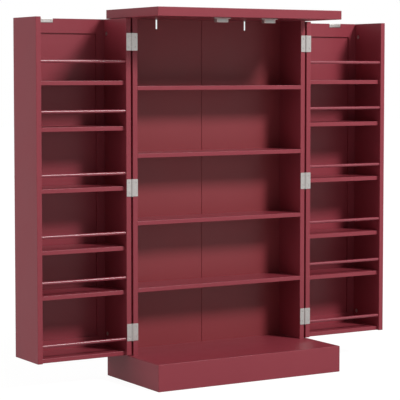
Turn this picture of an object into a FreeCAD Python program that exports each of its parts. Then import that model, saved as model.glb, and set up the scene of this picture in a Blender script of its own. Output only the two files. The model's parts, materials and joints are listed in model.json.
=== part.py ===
import FreeCAD
import Part
import os
import Sketcher

# Painted kitchen hutch: an open carcass on a plinth, with two deep rack doors folded right back beside it.
# Millimetres, +Z up, front towards -Y. The origin is on the floor, midway across the hutch as it stands open.
# Distances called "out" are measured along X from the middle plane, the same on the left and the right.

SIZES = (
    # Outline
    ("overall_height", 1040),
    ("cabinet_width", 603),
    ("cabinet_depth", 296),
    ("top_thickness", 25),
    ("edge_easing", 1.2),
    # Plinth
    ("plinth_height", 75),
    ("deck_thickness", 15),
    ("plinth_board_thickness", 15),
    # Carcass
    ("carcass_width", 578),
    ("carcass_setback", 164),
    ("side_thickness", 15),
    ("shelf_thickness", 12),
    # Back, in two halves that meet on a batten, with a strap slot at the head of each
    ("back_thickness", 4),
    ("back_setback", 17),
    ("back_groove_depth", 6),
    ("back_seam_gap", 1.5),
    ("batten_width", 40),
    ("batten_thickness", 12),
    ("slot_width", 6.4),
    ("slot_depth", 27),
    ("slot_offset", 149.5),
    # Doors
    ("door_depth", 144),
    ("door_clearance", 1.5),
    ("door_meeting_gap", 2),
    ("door_side_thickness", 15),
    ("door_shelf_thickness", 12),
    ("door_shelf_setback", 10),
    # Top faces of the five door shelves above the door's lower end, from the top one down
    ("door_shelf_1_height", 765),
    ("door_shelf_2_height", 639.5),
    ("door_shelf_3_height", 473),
    ("door_shelf_4_height", 306),
    ("door_shelf_5_height", 183),
    # Retaining rods, each above its shelf and the last above the door's bottom board
    ("rod_diameter", 9),
    ("rod_setback", 7),
    ("rod_socket_depth", 5),
    ("rod_clearance", 0.1),
    ("rod_1_rise", 53),
    ("rod_2_rise", 42),
    ("rod_3_rise", 36.5),
    ("rod_4_rise", 37.5),
    ("rod_5_rise", 35.5),
    ("rod_6_rise", 34.5),
    # Framed door fronts
    ("frame_width", 40),
    ("frame_thickness", 14),
    ("panel_thickness", 4),
    ("panel_groove_depth", 9),
    ("panel_clearance", 0.1),
    # Butt hinges
    ("hinge_length", 48),
    ("hinge_end_inset", 41),
    ("knuckle_diameter", 5),
    ("knuckle_clearance", 0.4),
    ("knuckle_play", 0.3),
    ("leaf_thickness", 1.5),
    ("leaf_gap", 0.3),
    ("leaf_margin", 0.5),
    ("leaf_screw_spacing", 28),
    ("pin_diameter", 2.6),
    ("pin_clearance", 0.05),
    ("pin_head_diameter", 4.4),
    ("pin_head_height", 0.8),
    # Countersunk wood screws
    ("screw_head_diameter", 5.6),
    ("screw_diameter", 3),
    ("screw_length", 14),
    ("screw_recess_length", 3),
    ("screw_recess_width", 0.7),
    ("screw_recess_depth", 0.8),
    ("screw_clearance", 0.05),
    # Magnetic catches and their strike plates
    ("catch_offset", 78),
    ("catch_length", 37),
    ("catch_height", 13),
    ("catch_depth", 15),
    ("catch_flange_length", 53),
    ("catch_flange_thickness", 2.5),
    ("catch_screw_spacing", 45),
    ("magnet_length", 28),
    ("magnet_height", 7),
    ("magnet_depth", 10),
    ("magnet_proud", 0.4),
    ("magnet_clearance", 0.05),
    ("strike_length", 41),
    ("strike_height", 11.5),
    ("strike_thickness", 1.2),
    ("strike_shift", 16),
    ("strike_gap", 0.3),
    ("strike_screw_spacing", 27),
    # Door knobs
    ("knob_height", 500),
    ("knob_diameter", 28),
    ("knob_crown", 9),
    ("knob_projection", 25),
    ("knob_neck_diameter", 11),
    ("knob_base_diameter", 17),
    ("knob_base_thickness", 2.5),
    ("stud_diameter", 4),
    ("stud_depth", 11),
    ("stud_clearance", 0.05),
    # Cam fittings that hold the framed fronts to the door sides
    ("cam_diameter", 12),
    ("cam_depth", 11),
    ("cam_distance", 14.5),
    ("cam_drop", 40.5),
    ("cam_rise", 46.5),
    ("cam_slot_width", 1.2),
    ("cam_slot_depth", 1),
    ("cam_clearance", 0.05),
    ("bolt_diameter", 6),
    ("bolt_engagement", 10),
    # Dowels
    ("dowel_diameter", 6),
    ("dowel_in_panel", 10),
    ("dowel_in_shelf", 18),
    ("dowel_inset", 25),
    ("dowel_clearance", 0.05),
    ("dowel_end_clearance", 0.5),
)

# Shelves between the deck and the top, which divide the carcass into equal tiers
CARCASS_SHELVES = 4
DOOR_SHELVES = 5
HINGES_PER_DOOR = 3
KNUCKLES = 5

SIDES = (("left", -1), ("right", 1))
WORLD_AXES = {
    "x": FreeCAD.Rotation(FreeCAD.Vector(0, 1, 0), 90),
    "y": FreeCAD.Rotation(FreeCAD.Vector(1, 0, 0), -90),
    "z": FreeCAD.Rotation(),
}
UPRIGHT = FreeCAD.Rotation()
HALF_TURN = FreeCAD.Rotation(FreeCAD.Vector(0, 1, 0), 180)
POINTING_UP = FreeCAD.Rotation(FreeCAD.Vector(1, 0, 0), 90)

# Planes of the hutch, as expressions of the sizes
FRONT = "(-(sizes.carcass_setback + sizes.door_depth + sizes.knob_projection) / 2)"
BACK = f"({FRONT} + sizes.cabinet_depth)"
UNDER_TOP = "(sizes.overall_height - sizes.top_thickness)"
TIER = f"(({UNDER_TOP} - sizes.plinth_height) / {CARCASS_SHELVES + 1})"
EDGE = f"({FRONT} + sizes.carcass_setback)"
CARCASS_OUT = "(sizes.carcass_width / 2)"
CARCASS_IN = f"({CARCASS_OUT} - sizes.side_thickness)"
BACK_REAR = f"({BACK} - sizes.back_setback)"
BACK_FACE = f"({BACK_REAR} - sizes.back_thickness)"
# The hinge barrels fill the gap between the carcass and the open door
HINGE_GAP = "(sizes.knuckle_diameter + 2 * sizes.knuckle_clearance)"
AXIS_OUT = f"({CARCASS_OUT} + {HINGE_GAP} / 2)"
AXIS_SETOFF = "(sizes.leaf_thickness + sizes.leaf_gap / 2)"
AXIS_Y = f"({EDGE} - {AXIS_SETOFF})"
# Closed, the two doors meet at the middle plane, so their width follows the carcass
DOOR_WIDTH = f"({CARCASS_OUT} - sizes.door_meeting_gap / 2)"
DOOR_HINGE_OUT = f"({CARCASS_OUT} + {HINGE_GAP})"
DOOR_FREE_OUT = f"({DOOR_HINGE_OUT} + {DOOR_WIDTH})"
DOOR_INNER_START = f"({DOOR_HINGE_OUT} + sizes.door_side_thickness)"
DOOR_INNER_WIDTH = f"({DOOR_WIDTH} - 2 * sizes.door_side_thickness)"
DOOR_INNER_END = f"({DOOR_FREE_OUT} - sizes.door_side_thickness)"
DOOR_LOW = "(sizes.plinth_height + sizes.door_clearance)"
DOOR_HIGH = f"({UNDER_TOP} - sizes.door_clearance)"
DOOR_HEIGHT = f"({DOOR_HIGH} - {DOOR_LOW})"
DOOR_REAR = f"({EDGE} + sizes.door_depth)"
FRAME_FACE = f"({DOOR_REAR} - sizes.frame_thickness)"
PANEL_FACE = f"({FRAME_FACE} + (sizes.frame_thickness - sizes.panel_thickness) / 2)"
DOOR_SHELF_FRONT = f"({EDGE} + sizes.door_shelf_setback)"
LEAF_REACH = f"({HINGE_GAP} / 2 + sizes.side_thickness - sizes.leaf_margin)"
LEAF_SCREW_OUT = f"({HINGE_GAP} / 2 + sizes.side_thickness / 2)"
KNUCKLE_PITCH = f"(sizes.hinge_length / {KNUCKLES})"
# Closed, the strike plate stands this far from the front, and the magnet a hair behind it
MAGNET_FACE = f"(2 * {AXIS_Y} - {FRAME_FACE} + sizes.strike_thickness + sizes.strike_gap)"
CATCH_FRONT = f"({MAGNET_FACE} + sizes.magnet_proud)"
MAGNET_LOW = "(-(sizes.catch_height + sizes.catch_flange_thickness + sizes.magnet_height) / 2)"
STRIKE_MIDDLE_OUT = f"(2 * {AXIS_OUT} - sizes.catch_offset - sizes.strike_shift)"
STRIKE_LOW = f"({DOOR_HIGH} - sizes.strike_height)"
KNOB_OUT = f"({DOOR_FREE_OUT} - sizes.frame_width / 2)"
KNOB_Z = f"({DOOR_LOW} + sizes.knob_height)"
DOWEL_LENGTH = "(sizes.dowel_in_panel + sizes.dowel_in_shelf)"

doc = FreeCAD.newDocument("kitchen_hutch")
sheet = doc.addObject("Spreadsheet::Sheet", "sizes")
nodes = []


def fill_sheet():
    """Write each driving size into its own named cell."""
    for row, (alias, value) in enumerate(SIZES, start=1):
        sheet.set(f"A{row}", alias)
        sheet.set(f"B{row}", str(value))
        sheet.setAlias(f"B{row}", alias)
    doc.recompute()


def place(piece, corner, rotation=UPRIGHT):
    """Put a piece at a point given by three expressions."""
    piece.Placement = FreeCAD.Placement(FreeCAD.Vector(), rotation)
    for axis, expression in zip("xyz", corner):
        piece.setExpression(f"Placement.Base.{axis}", expression)
    return piece


def node(piece):
    """Keep a finished piece for the parts folder."""
    nodes.append(piece)
    return piece


def outward(sign, start, length):
    """Lower X of a span that starts this far out on one side of the hutch."""
    return start if sign > 0 else f"-({start} + {length})"


def point_out(sign, distance):
    """X of a point this far out on one side of the hutch."""
    return distance if sign > 0 else f"-({distance})"


def box(name, corner, extent):
    """A plain block from its lower corner and its three extents."""
    block = doc.addObject("Part::Box", name)
    for side, expression in zip(("Length", "Width", "Height"), extent):
        block.setExpression(side, expression)
    return place(block, corner)


def cylinder(name, radius, length, start, axis):
    """A round bar from the middle of its lower end along a world axis."""
    bar = doc.addObject("Part::Cylinder", name)
    bar.setExpression("Radius", radius)
    bar.setExpression("Height", length)
    return place(bar, start, WORLD_AXES[axis])


def cone(name, first_radius, last_radius, length, start, axis):
    """A tapered bar from the middle of its lower end along a world axis."""
    bar = doc.addObject("Part::Cone", name)
    bar.setExpression("Radius1", first_radius)
    bar.setExpression("Radius2", last_radius)
    bar.setExpression("Height", length)
    return place(bar, start, WORLD_AXES[axis])


def compound(name, members):
    """A group of separate solids."""
    group = doc.addObject("Part::Compound", name)
    group.Links = members
    return group


def fused(name, members):
    """One solid from several that meet."""
    union = doc.addObject("Part::MultiFuse", name)
    union.Shapes = members
    return union


def cut(name, base, tools):
    """A piece less its holes, grooves and notches."""
    remainder = doc.addObject("Part::Cut", name)
    remainder.Base = base
    remainder.Tool = tools[0] if len(tools) == 1 else compound(f"{name}_cutters", tools)
    return remainder


def copies(name, pattern, places):
    """A group of equal solids, each at a point and a rotation of its own."""
    links = []
    for number, (corner, rotation) in enumerate(places, start=1):
        link = doc.addObject("App::Link", f"{name}_{number}")
        link.LinkedObject = pattern
        links.append(place(link, corner, rotation))
    return compound(name, links)


def eased_edges(shape, sharp):
    """Names of the edges of a block that touch none of the faces that stay sharp."""
    limits = shape.BoundBox
    faces = {
        "left": lambda middle: middle.x == limits.XMin,
        "right": lambda middle: middle.x == limits.XMax,
        "front": lambda middle: middle.y == limits.YMin,
        "back": lambda middle: middle.y == limits.YMax,
        "bottom": lambda middle: middle.z == limits.ZMin,
        "top": lambda middle: middle.z == limits.ZMax,
    }
    names = []
    for number, edge in enumerate(shape.Edges, start=1):
        middle = edge.BoundBox.Center
        if not any(faces[face](middle) for face in sharp):
            names.append(f"Edge{number}")
    return names


def board(label, corner, extent, sharp=(), cutters=()):
    """A board with eased edges, except along the faces that butt against others, less its cutters."""
    length, width, thickness = extent
    name = f"{label}_blank" if cutters else label
    body = doc.addObject("PartDesign::Body", name)
    outline = body.newObject("Sketcher::SketchObject", f"{name}_outline")
    ground = next(plane for plane in body.Origin.OriginFeatures if plane.Role == "XY_Plane")
    outline.AttachmentSupport = (ground, [""])
    outline.MapMode = "FlatFace"
    corners = [FreeCAD.Vector(x, y, 0) for x, y in ((0, 0), (2, 0), (2, 1), (0, 1))]
    for number, first in enumerate(corners):
        outline.addGeometry(Part.LineSegment(first, corners[(number + 1) % 4]), False)
    for number in range(4):
        outline.addConstraint(Sketcher.Constraint("Coincident", number, 2, (number + 1) % 4, 1))
    for number in (0, 2):
        outline.addConstraint(Sketcher.Constraint("Horizontal", number))
        outline.addConstraint(Sketcher.Constraint("Vertical", number + 1))
    outline.addConstraint(Sketcher.Constraint("Coincident", 0, 1, -1, 1))
    along = outline.addConstraint(Sketcher.Constraint("DistanceX", 0, 1, 0, 2, 2))
    across = outline.addConstraint(Sketcher.Constraint("DistanceY", 1, 1, 1, 2, 1))
    outline.setExpression(f"Constraints[{along}]", length)
    outline.setExpression(f"Constraints[{across}]", width)
    pad = body.newObject("PartDesign::Pad", f"{name}_thickness")
    pad.Profile = outline
    pad.setExpression("Length", thickness)
    doc.recompute()
    easing = body.newObject("PartDesign::Fillet", f"{name}_easing")
    easing.Base = (pad, eased_edges(pad.Shape, sharp))
    easing.setExpression("Radius", "sizes.edge_easing")
    body.Tip = easing
    place(body, corner)
    return cut(label, body, cutters) if cutters else body


def make_screw(name, clearance, recessed):
    """A countersunk screw along +Y with its head's face at the origin, or the hole that takes it."""
    head_radius = f"sizes.screw_head_diameter / 2 + {clearance}"
    shank_radius = f"sizes.screw_diameter / 2 + {clearance}"
    head_height = "(sizes.screw_head_diameter - sizes.screw_diameter) / 2"
    head = cone(f"{name}_head", head_radius, shank_radius, head_height, ("0", "0", "0"), "y")
    shank = cylinder(f"{name}_shank", shank_radius, f"sizes.screw_length + {clearance}", ("0", "0", "0"), "y")
    screw = fused(f"{name}_body", [head, shank])
    if not recessed:
        return screw
    arms = []
    for arm, (wide, tall) in enumerate((("length", "width"), ("width", "length")), start=1):
        extent = (f"sizes.screw_recess_{wide}", "sizes.screw_recess_depth", f"sizes.screw_recess_{tall}")
        corner = (f"-{extent[0]} / 2", "0", f"-{extent[2]} / 2")
        arms.append(box(f"{name}_recess_{arm}", corner, extent))
    return cut(name, screw, arms)


def make_leaf(name, sign, kept):
    """A hinge leaf about its pin at the origin, reaching to one side, with the knuckles that it keeps."""
    barrel = cylinder(
        f"{name}_barrel", "sizes.knuckle_diameter / 2", "sizes.hinge_length",
        ("0", "0", "-sizes.hinge_length / 2"), "z",
    )
    plate = box(
        f"{name}_plate",
        (outward(sign, "0", LEAF_REACH), "sizes.leaf_gap / 2", "-sizes.hinge_length / 2"),
        (LEAF_REACH, "sizes.leaf_thickness", "sizes.hinge_length"),
    )
    bore = cylinder(
        f"{name}_bore", "sizes.pin_diameter / 2 + sizes.pin_clearance", "sizes.hinge_length",
        ("0", "0", "-sizes.hinge_length / 2"), "z",
    )
    notches = []
    notch_width = HINGE_GAP
    for number in range(KNUCKLES):
        if number not in kept:
            notches.append(box(
                f"{name}_notch_{number}",
                (f"-{notch_width} / 2", f"-{notch_width} / 2",
                 f"-sizes.hinge_length / 2 + {number} * {KNUCKLE_PITCH} - sizes.knuckle_play / 2"),
                (notch_width, notch_width, f"{KNUCKLE_PITCH} + sizes.knuckle_play"),
            ))
    screw_x = point_out(sign, LEAF_SCREW_OUT)
    holes = copies(f"{name}_screw_holes", screw_hole, [
        ((screw_x, "sizes.leaf_gap / 2", f"{half} * sizes.leaf_screw_spacing / 2"), UPRIGHT)
        for half in (-1, 1)
    ])
    return cut(name, fused(f"{name}_rolled", [barrel, plate]), [bore, holes] + notches)


def hinge_heights():
    """Middle heights of a door's hinges, spread evenly between its end hinges."""
    lowest = f"({DOOR_LOW} + sizes.hinge_end_inset + sizes.hinge_length / 2)"
    step = f"(({DOOR_HEIGHT} - 2 * sizes.hinge_end_inset - sizes.hinge_length) / {HINGES_PER_DOOR - 1})"
    return [f"({lowest} + {number} * {step})" for number in range(HINGES_PER_DOOR)]


def hinge_places(sign):
    """The pin middles of one door's hinges, turned to face their side."""
    rotation = UPRIGHT if sign > 0 else HALF_TURN
    return [((point_out(sign, AXIS_OUT), AXIS_Y, height), rotation) for height in hinge_heights()]


def leaf_screw_places(sign, reach):
    """Screw heads on the leaves of one side's hinges: reach -1 on the carcass, 1 on the door."""
    middle = point_out(sign, f"({AXIS_OUT} + {reach} * {LEAF_SCREW_OUT})")
    head_face = f"{EDGE} - sizes.leaf_thickness"
    return [
        ((middle, head_face, f"{height} + {half} * sizes.leaf_screw_spacing / 2"), UPRIGHT)
        for height in hinge_heights() for half in (-1, 1)
    ]


def level_dowels(joints, depths, heights):
    """Places of the level dowels at each joint, depth and height, and of the longer holes that take them."""
    pegs = []
    bores = []
    bore_length = f"({DOWEL_LENGTH} + 2 * sizes.dowel_end_clearance)"
    for sign, start in joints:
        peg_x = outward(sign, start, DOWEL_LENGTH)
        bore_x = outward(sign, f"({start} - sizes.dowel_end_clearance)", bore_length)
        for depth in depths:
            for height in heights:
                pegs.append(((peg_x, depth, height), WORLD_AXES["x"]))
                bores.append(((bore_x, depth, height), WORLD_AXES["x"]))
    return pegs, bores


def upright_dowels(spots, starts):
    """Places of the upright dowels at each spot and lower end, and of the longer holes that take them."""
    pegs = []
    bores = []
    for x, depth in spots:
        for start in starts:
            pegs.append(((x, depth, start), UPRIGHT))
            bores.append(((x, depth, f"{start} - sizes.dowel_end_clearance"), UPRIGHT))
    return pegs, bores


def make_pin():
    """A hinge pin with a flat head at each end, its middle at the origin."""
    shank = cylinder(
        "pin_shank", "sizes.pin_diameter / 2", "sizes.hinge_length",
        ("0", "0", "-sizes.hinge_length / 2"), "z",
    )
    heads = [
        cylinder(
            f"pin_{end}_head", "sizes.pin_head_diameter / 2", "sizes.pin_head_height", ("0", "0", z), "z",
        )
        for end, z in (
            ("lower", "-sizes.hinge_length / 2 - sizes.pin_head_height"),
            ("upper", "sizes.hinge_length / 2"),
        )
    ]
    return fused("pin", [shank] + heads)


def make_catch():
    """A magnet's housing with two screw ears, from the middle of its front edge under the top."""
    block = box(
        "catch_block", ("-sizes.catch_length / 2", "0", "-sizes.catch_height"),
        ("sizes.catch_length", "sizes.catch_depth", "sizes.catch_height"),
    )
    ears = box(
        "catch_ears", ("-sizes.catch_flange_length / 2", "0", "-sizes.catch_flange_thickness"),
        ("sizes.catch_flange_length", "sizes.catch_depth", "sizes.catch_flange_thickness"),
    )
    room = "2 * sizes.magnet_clearance"
    pocket = box(
        "catch_pocket",
        (f"-(sizes.magnet_length + {room}) / 2", "-sizes.magnet_proud",
         f"{MAGNET_LOW} - sizes.magnet_clearance"),
        (f"sizes.magnet_length + {room}", f"sizes.magnet_depth + {room}", f"sizes.magnet_height + {room}"),
    )
    ear_face = "-sizes.catch_flange_thickness"
    holes = copies("catch_holes", screw_hole, [
        ((f"{half} * sizes.catch_screw_spacing / 2", "sizes.catch_depth / 2", ear_face), POINTING_UP)
        for half in (-1, 1)
    ])
    return cut("catch", fused("catch_shell", [block, ears]), [pocket, holes])


def make_knob():
    """A turned knob with its fixing stud, along +Z from the door's face."""
    crown_middle = "sizes.knob_projection - sizes.knob_crown"
    turnings = (
        ("stud", "stud_diameter", "sizes.stud_depth", "-sizes.stud_depth"),
        ("foot", "knob_base_diameter", "sizes.knob_base_thickness", "0"),
        ("neck", "knob_neck_diameter", crown_middle, "0"),
    )
    turned = [
        cylinder(f"knob_{part}", f"sizes.{diameter} / 2", length, ("0", "0", start), "z")
        for part, diameter, length, start in turnings
    ]
    crown = doc.addObject("Part::Ellipsoid", "knob_crown")
    crown.setExpression("Radius1", "sizes.knob_crown")
    crown.setExpression("Radius2", "sizes.knob_diameter / 2")
    place(crown, ("0", "0", crown_middle))
    return fused("knob", turned + [crown])


def make_cam():
    """A cam with a screwdriver slot in its face, sunk along -Z from the face at the origin."""
    disc = cylinder(
        "cam_disc", "sizes.cam_diameter / 2", "sizes.cam_depth", ("0", "0", "-sizes.cam_depth"), "z",
    )
    slot = box(
        "cam_slot", ("-sizes.cam_diameter / 2", "-sizes.cam_slot_width / 2", "-sizes.cam_slot_depth"),
        ("sizes.cam_diameter", "sizes.cam_slot_width", "sizes.cam_slot_depth"),
    )
    return cut("cam", disc, [slot])


fill_sheet()

# Patterns for the pieces that repeat
screw = make_screw("screw", "0", True)
screw_hole = make_screw("screw_hole", "sizes.screw_clearance", False)
dowel = cylinder("dowel", "sizes.dowel_diameter / 2", DOWEL_LENGTH, ("0", "0", "0"), "z")
dowel_hole = cylinder(
    "dowel_hole", "sizes.dowel_diameter / 2 + sizes.dowel_clearance",
    f"{DOWEL_LENGTH} + 2 * sizes.dowel_end_clearance", ("0", "0", "0"), "z",
)
frame_leaf = make_leaf("frame_leaf", -1, (0, 2, 4))
door_leaf = make_leaf("door_leaf", 1, (1, 3))
pin = make_pin()
catch = make_catch()
knob = make_knob()
cam = make_cam()
cam_bore = cylinder(
    "cam_bore", "sizes.cam_diameter / 2 + sizes.cam_clearance", "sizes.cam_depth + sizes.cam_clearance",
    ("0", "0", "0"), "z",
)


def catch_screw_places():
    """Screw heads in the ears of both catches."""
    middle = f"{CATCH_FRONT} + sizes.catch_depth / 2"
    ear_face = f"{UNDER_TOP} - sizes.catch_flange_thickness"
    columns = [
        f"{sign} * sizes.catch_offset + {half} * sizes.catch_screw_spacing / 2"
        for _, sign in SIDES for half in (-1, 1)
    ]
    return [((column, middle, ear_face), POINTING_UP) for column in columns]


def make_plinth(dowel_bores):
    """The deck that is the cabinet's floor, on four boards."""
    width = "sizes.cabinet_width"
    wall = "sizes.plinth_board_thickness"
    left = f"-{width} / 2"
    skirt = "(sizes.plinth_height - sizes.deck_thickness)"
    node(board(
        "deck_board", (left, FRONT, skirt), (width, "sizes.cabinet_depth", "sizes.deck_thickness"),
        ("bottom",), [dowel_bores],
    ))
    node(board("plinth_front_board", (left, FRONT, "0"), (width, wall, skirt), ("top", "back")))
    node(board("plinth_back_board", (left, f"{BACK} - {wall}", "0"), (width, wall, skirt), ("top", "front")))
    for name, sign in SIDES:
        corner = (outward(sign, f"({width} / 2 - {wall})", wall), f"{FRONT} + {wall}", "0")
        extent = (wall, f"sizes.cabinet_depth - 2 * {wall}", skirt)
        node(board(f"plinth_{name}_board", corner, extent, ("top", "front", "back")))


def make_back():
    """Two thin halves let into the sides, with their strap slots, and the batten behind their seam."""
    height = f"({UNDER_TOP} - sizes.plinth_height)"
    start = "(sizes.back_seam_gap / 2)"
    width = f"({CARCASS_IN} + sizes.back_groove_depth - sizes.panel_clearance - {start})"
    for name, sign in SIDES:
        slot = box(
            f"{name}_strap_slot",
            (f"{sign} * sizes.slot_offset - sizes.slot_width / 2", f"{BACK_FACE} - sizes.back_thickness",
             f"{UNDER_TOP} - sizes.slot_depth"),
            ("sizes.slot_width", "3 * sizes.back_thickness", "2 * sizes.slot_depth"),
        )
        node(board(
            f"{name}_back_panel", (outward(sign, start, width), BACK_FACE, "sizes.plinth_height"),
            (width, "sizes.back_thickness", height), ("top", "bottom", name), [slot],
        ))
    node(board(
        "back_seam_batten", ("-sizes.batten_width / 2", BACK_REAR, "sizes.plinth_height"),
        ("sizes.batten_width", "sizes.batten_thickness", height), ("top", "bottom", "front"),
    ))


def make_cabinet():
    """The fixed body: plinth, sides, shelves, back and top, with its half of the hinges and the catches."""
    shelf_tops = [f"({UNDER_TOP} - {number} * {TIER})" for number in range(1, CARCASS_SHELVES + 1)]
    shelf_middles = [f"({top} - sizes.shelf_thickness / 2)" for top in shelf_tops]
    depths = (f"{EDGE} + sizes.dowel_inset", f"{BACK_FACE} - sizes.dowel_inset")
    joints = [(sign, f"({CARCASS_IN} - sizes.dowel_in_shelf)") for _, sign in SIDES]
    level_pegs, level_bores = level_dowels(joints, depths, shelf_middles)
    side_middle = f"({CARCASS_OUT} - sizes.side_thickness / 2)"
    spots = [(point_out(sign, side_middle), depth) for _, sign in SIDES for depth in depths]
    ends = ("sizes.plinth_height - sizes.dowel_in_panel", f"{UNDER_TOP} - sizes.dowel_in_shelf")
    upright_pegs, upright_bores = upright_dowels(spots, ends)
    node(copies("cabinet_dowels", dowel, level_pegs + upright_pegs))
    level_holes = copies("cabinet_level_bores", dowel_hole, level_bores)
    upright_holes = copies("cabinet_upright_bores", dowel_hole, upright_bores)

    make_plinth(upright_holes)
    catch_holes = copies("top_screw_holes", screw_hole, catch_screw_places())
    node(board(
        "top_board", ("-sizes.cabinet_width / 2", FRONT, UNDER_TOP),
        ("sizes.cabinet_width", "sizes.cabinet_depth", "sizes.top_thickness"), (),
        [upright_holes, catch_holes],
    ))
    side_height = f"({UNDER_TOP} - sizes.plinth_height)"
    for name, sign in SIDES:
        groove_depth = "sizes.back_groove_depth"
        groove = box(
            f"{name}_back_groove",
            (outward(sign, CARCASS_IN, groove_depth), f"{BACK_FACE} - sizes.panel_clearance",
             "sizes.plinth_height"),
            (groove_depth, "sizes.back_thickness + 2 * sizes.panel_clearance", side_height),
        )
        pilots = copies(f"{name}_side_pilots", screw_hole, leaf_screw_places(sign, -1))
        node(board(
            f"{name}_side_panel",
            (outward(sign, CARCASS_IN, "sizes.side_thickness"), EDGE, "sizes.plinth_height"),
            ("sizes.side_thickness", f"{BACK} - {EDGE}", side_height), ("top", "bottom"),
            [groove, pilots, level_holes, upright_holes],
        ))
    for number, top in enumerate(shelf_tops, start=1):
        node(board(
            f"shelf_{number}", (f"-{CARCASS_IN}", EDGE, f"{top} - sizes.shelf_thickness"),
            (f"2 * {CARCASS_IN}", f"{BACK_FACE} - {EDGE}", "sizes.shelf_thickness"),
            ("left", "right", "back"), [level_holes],
        ))
    make_back()

    both_hinges = [spot for _, sign in SIDES for spot in hinge_places(sign)]
    node(copies("hinge_frame_leaves", frame_leaf, both_hinges))
    node(copies("hinge_pins", pin, both_hinges))
    leaf_screws = [spot for _, sign in SIDES for spot in leaf_screw_places(sign, -1)]
    node(copies("cabinet_screws", screw, leaf_screws + catch_screw_places()))
    catch_places = [((f"{sign} * sizes.catch_offset", CATCH_FRONT, UNDER_TOP), UPRIGHT) for _, sign in SIDES]
    node(copies("catch_housings", catch, catch_places))
    magnet = box(
        "magnet", ("0", "0", "0"), ("sizes.magnet_length", "sizes.magnet_depth", "sizes.magnet_height"),
    )
    magnet_low = f"{UNDER_TOP} + {MAGNET_LOW}"
    node(copies("catch_magnets", magnet, [
        ((f"{sign} * sizes.catch_offset - sizes.magnet_length / 2", MAGNET_FACE, magnet_low), UPRIGHT)
        for _, sign in SIDES
    ]))


def make_front(name, sign, bolt_holes, strike_pilots):
    """A door's framed front: grooved stiles, tongued rails and the panel that they hold."""
    grip = "(sizes.panel_groove_depth - sizes.panel_clearance)"
    groove_width = "sizes.panel_thickness + 2 * sizes.panel_clearance"
    groove_face = f"{PANEL_FACE} - sizes.panel_clearance"
    rail_start = f"({DOOR_HINGE_OUT} + sizes.frame_width)"
    rail_length = f"({DOOR_WIDTH} - 2 * sizes.frame_width)"
    panel_low = f"({DOOR_LOW} + sizes.frame_width)"
    panel_height = f"({DOOR_HEIGHT} - 2 * sizes.frame_width)"

    def spread(start, length, reach):
        """A span made longer by the same reach at both ends."""
        return f"({start} - {reach})", f"({length} + 2 * {reach})"

    wide_start, wide = spread(rail_start, rail_length, "sizes.panel_groove_depth")
    stile_groove = box(
        f"{name}_stile_groove", (outward(sign, wide_start, wide), groove_face, DOOR_LOW),
        (wide, groove_width, DOOR_HEIGHT),
    )
    tall_start, tall = spread(panel_low, panel_height, "sizes.panel_groove_depth")
    rail_groove = box(
        f"{name}_rail_groove", (outward(sign, rail_start, rail_length), groove_face, tall_start),
        (rail_length, groove_width, tall),
    )
    stud_hole = cylinder(
        f"{name}_stud_hole", "sizes.stud_diameter / 2 + sizes.stud_clearance",
        "sizes.stud_depth + sizes.stud_clearance",
        (point_out(sign, KNOB_OUT), f"{DOOR_REAR} - sizes.stud_depth - sizes.stud_clearance", KNOB_Z), "y",
    )
    stiles = (
        ("hinge", DOOR_HINGE_OUT, [stile_groove, bolt_holes]),
        ("free", f"({DOOR_FREE_OUT} - sizes.frame_width)", [stile_groove, bolt_holes, stud_hole]),
    )
    for end, start, cutters in stiles:
        node(board(
            f"{name}_{end}_stile", (outward(sign, start, "sizes.frame_width"), FRAME_FACE, DOOR_LOW),
            ("sizes.frame_width", "sizes.frame_thickness", DOOR_HEIGHT), ("front",), cutters,
        ))
    tongue_start, tongue_length = spread(rail_start, rail_length, grip)
    tongue_height = "(sizes.frame_width - sizes.panel_groove_depth)"
    rails = (
        ("bottom", DOOR_LOW, DOOR_LOW, [rail_groove]),
        ("top", f"({DOOR_HIGH} - sizes.frame_width)", f"({DOOR_HIGH} - {tongue_height})",
         [rail_groove, strike_pilots]),
    )
    for end, low, tongue_low, cutters in rails:
        bar = board(
            f"{name}_{end}_rail_bar", (outward(sign, rail_start, rail_length), FRAME_FACE, low),
            (rail_length, "sizes.frame_thickness", "sizes.frame_width"), ("front", "left", "right"),
            [rail_groove],
        )
        tongue = box(
            f"{name}_{end}_rail_tongue", (outward(sign, tongue_start, tongue_length), PANEL_FACE, tongue_low),
            (tongue_length, "sizes.panel_thickness", tongue_height),
        )
        tongued = fused(f"{name}_{end}_rail_tongued", [bar, tongue])
        node(cut(f"{name}_{end}_rail", tongued, cutters))
    panel_start, panel_width = spread(rail_start, rail_length, grip)
    sheet_low, sheet_height = spread(panel_low, panel_height, grip)
    node(box(
        f"{name}_panel", (outward(sign, panel_start, panel_width), PANEL_FACE, sheet_low),
        (panel_width, "sizes.panel_thickness", sheet_height),
    ))


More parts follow.
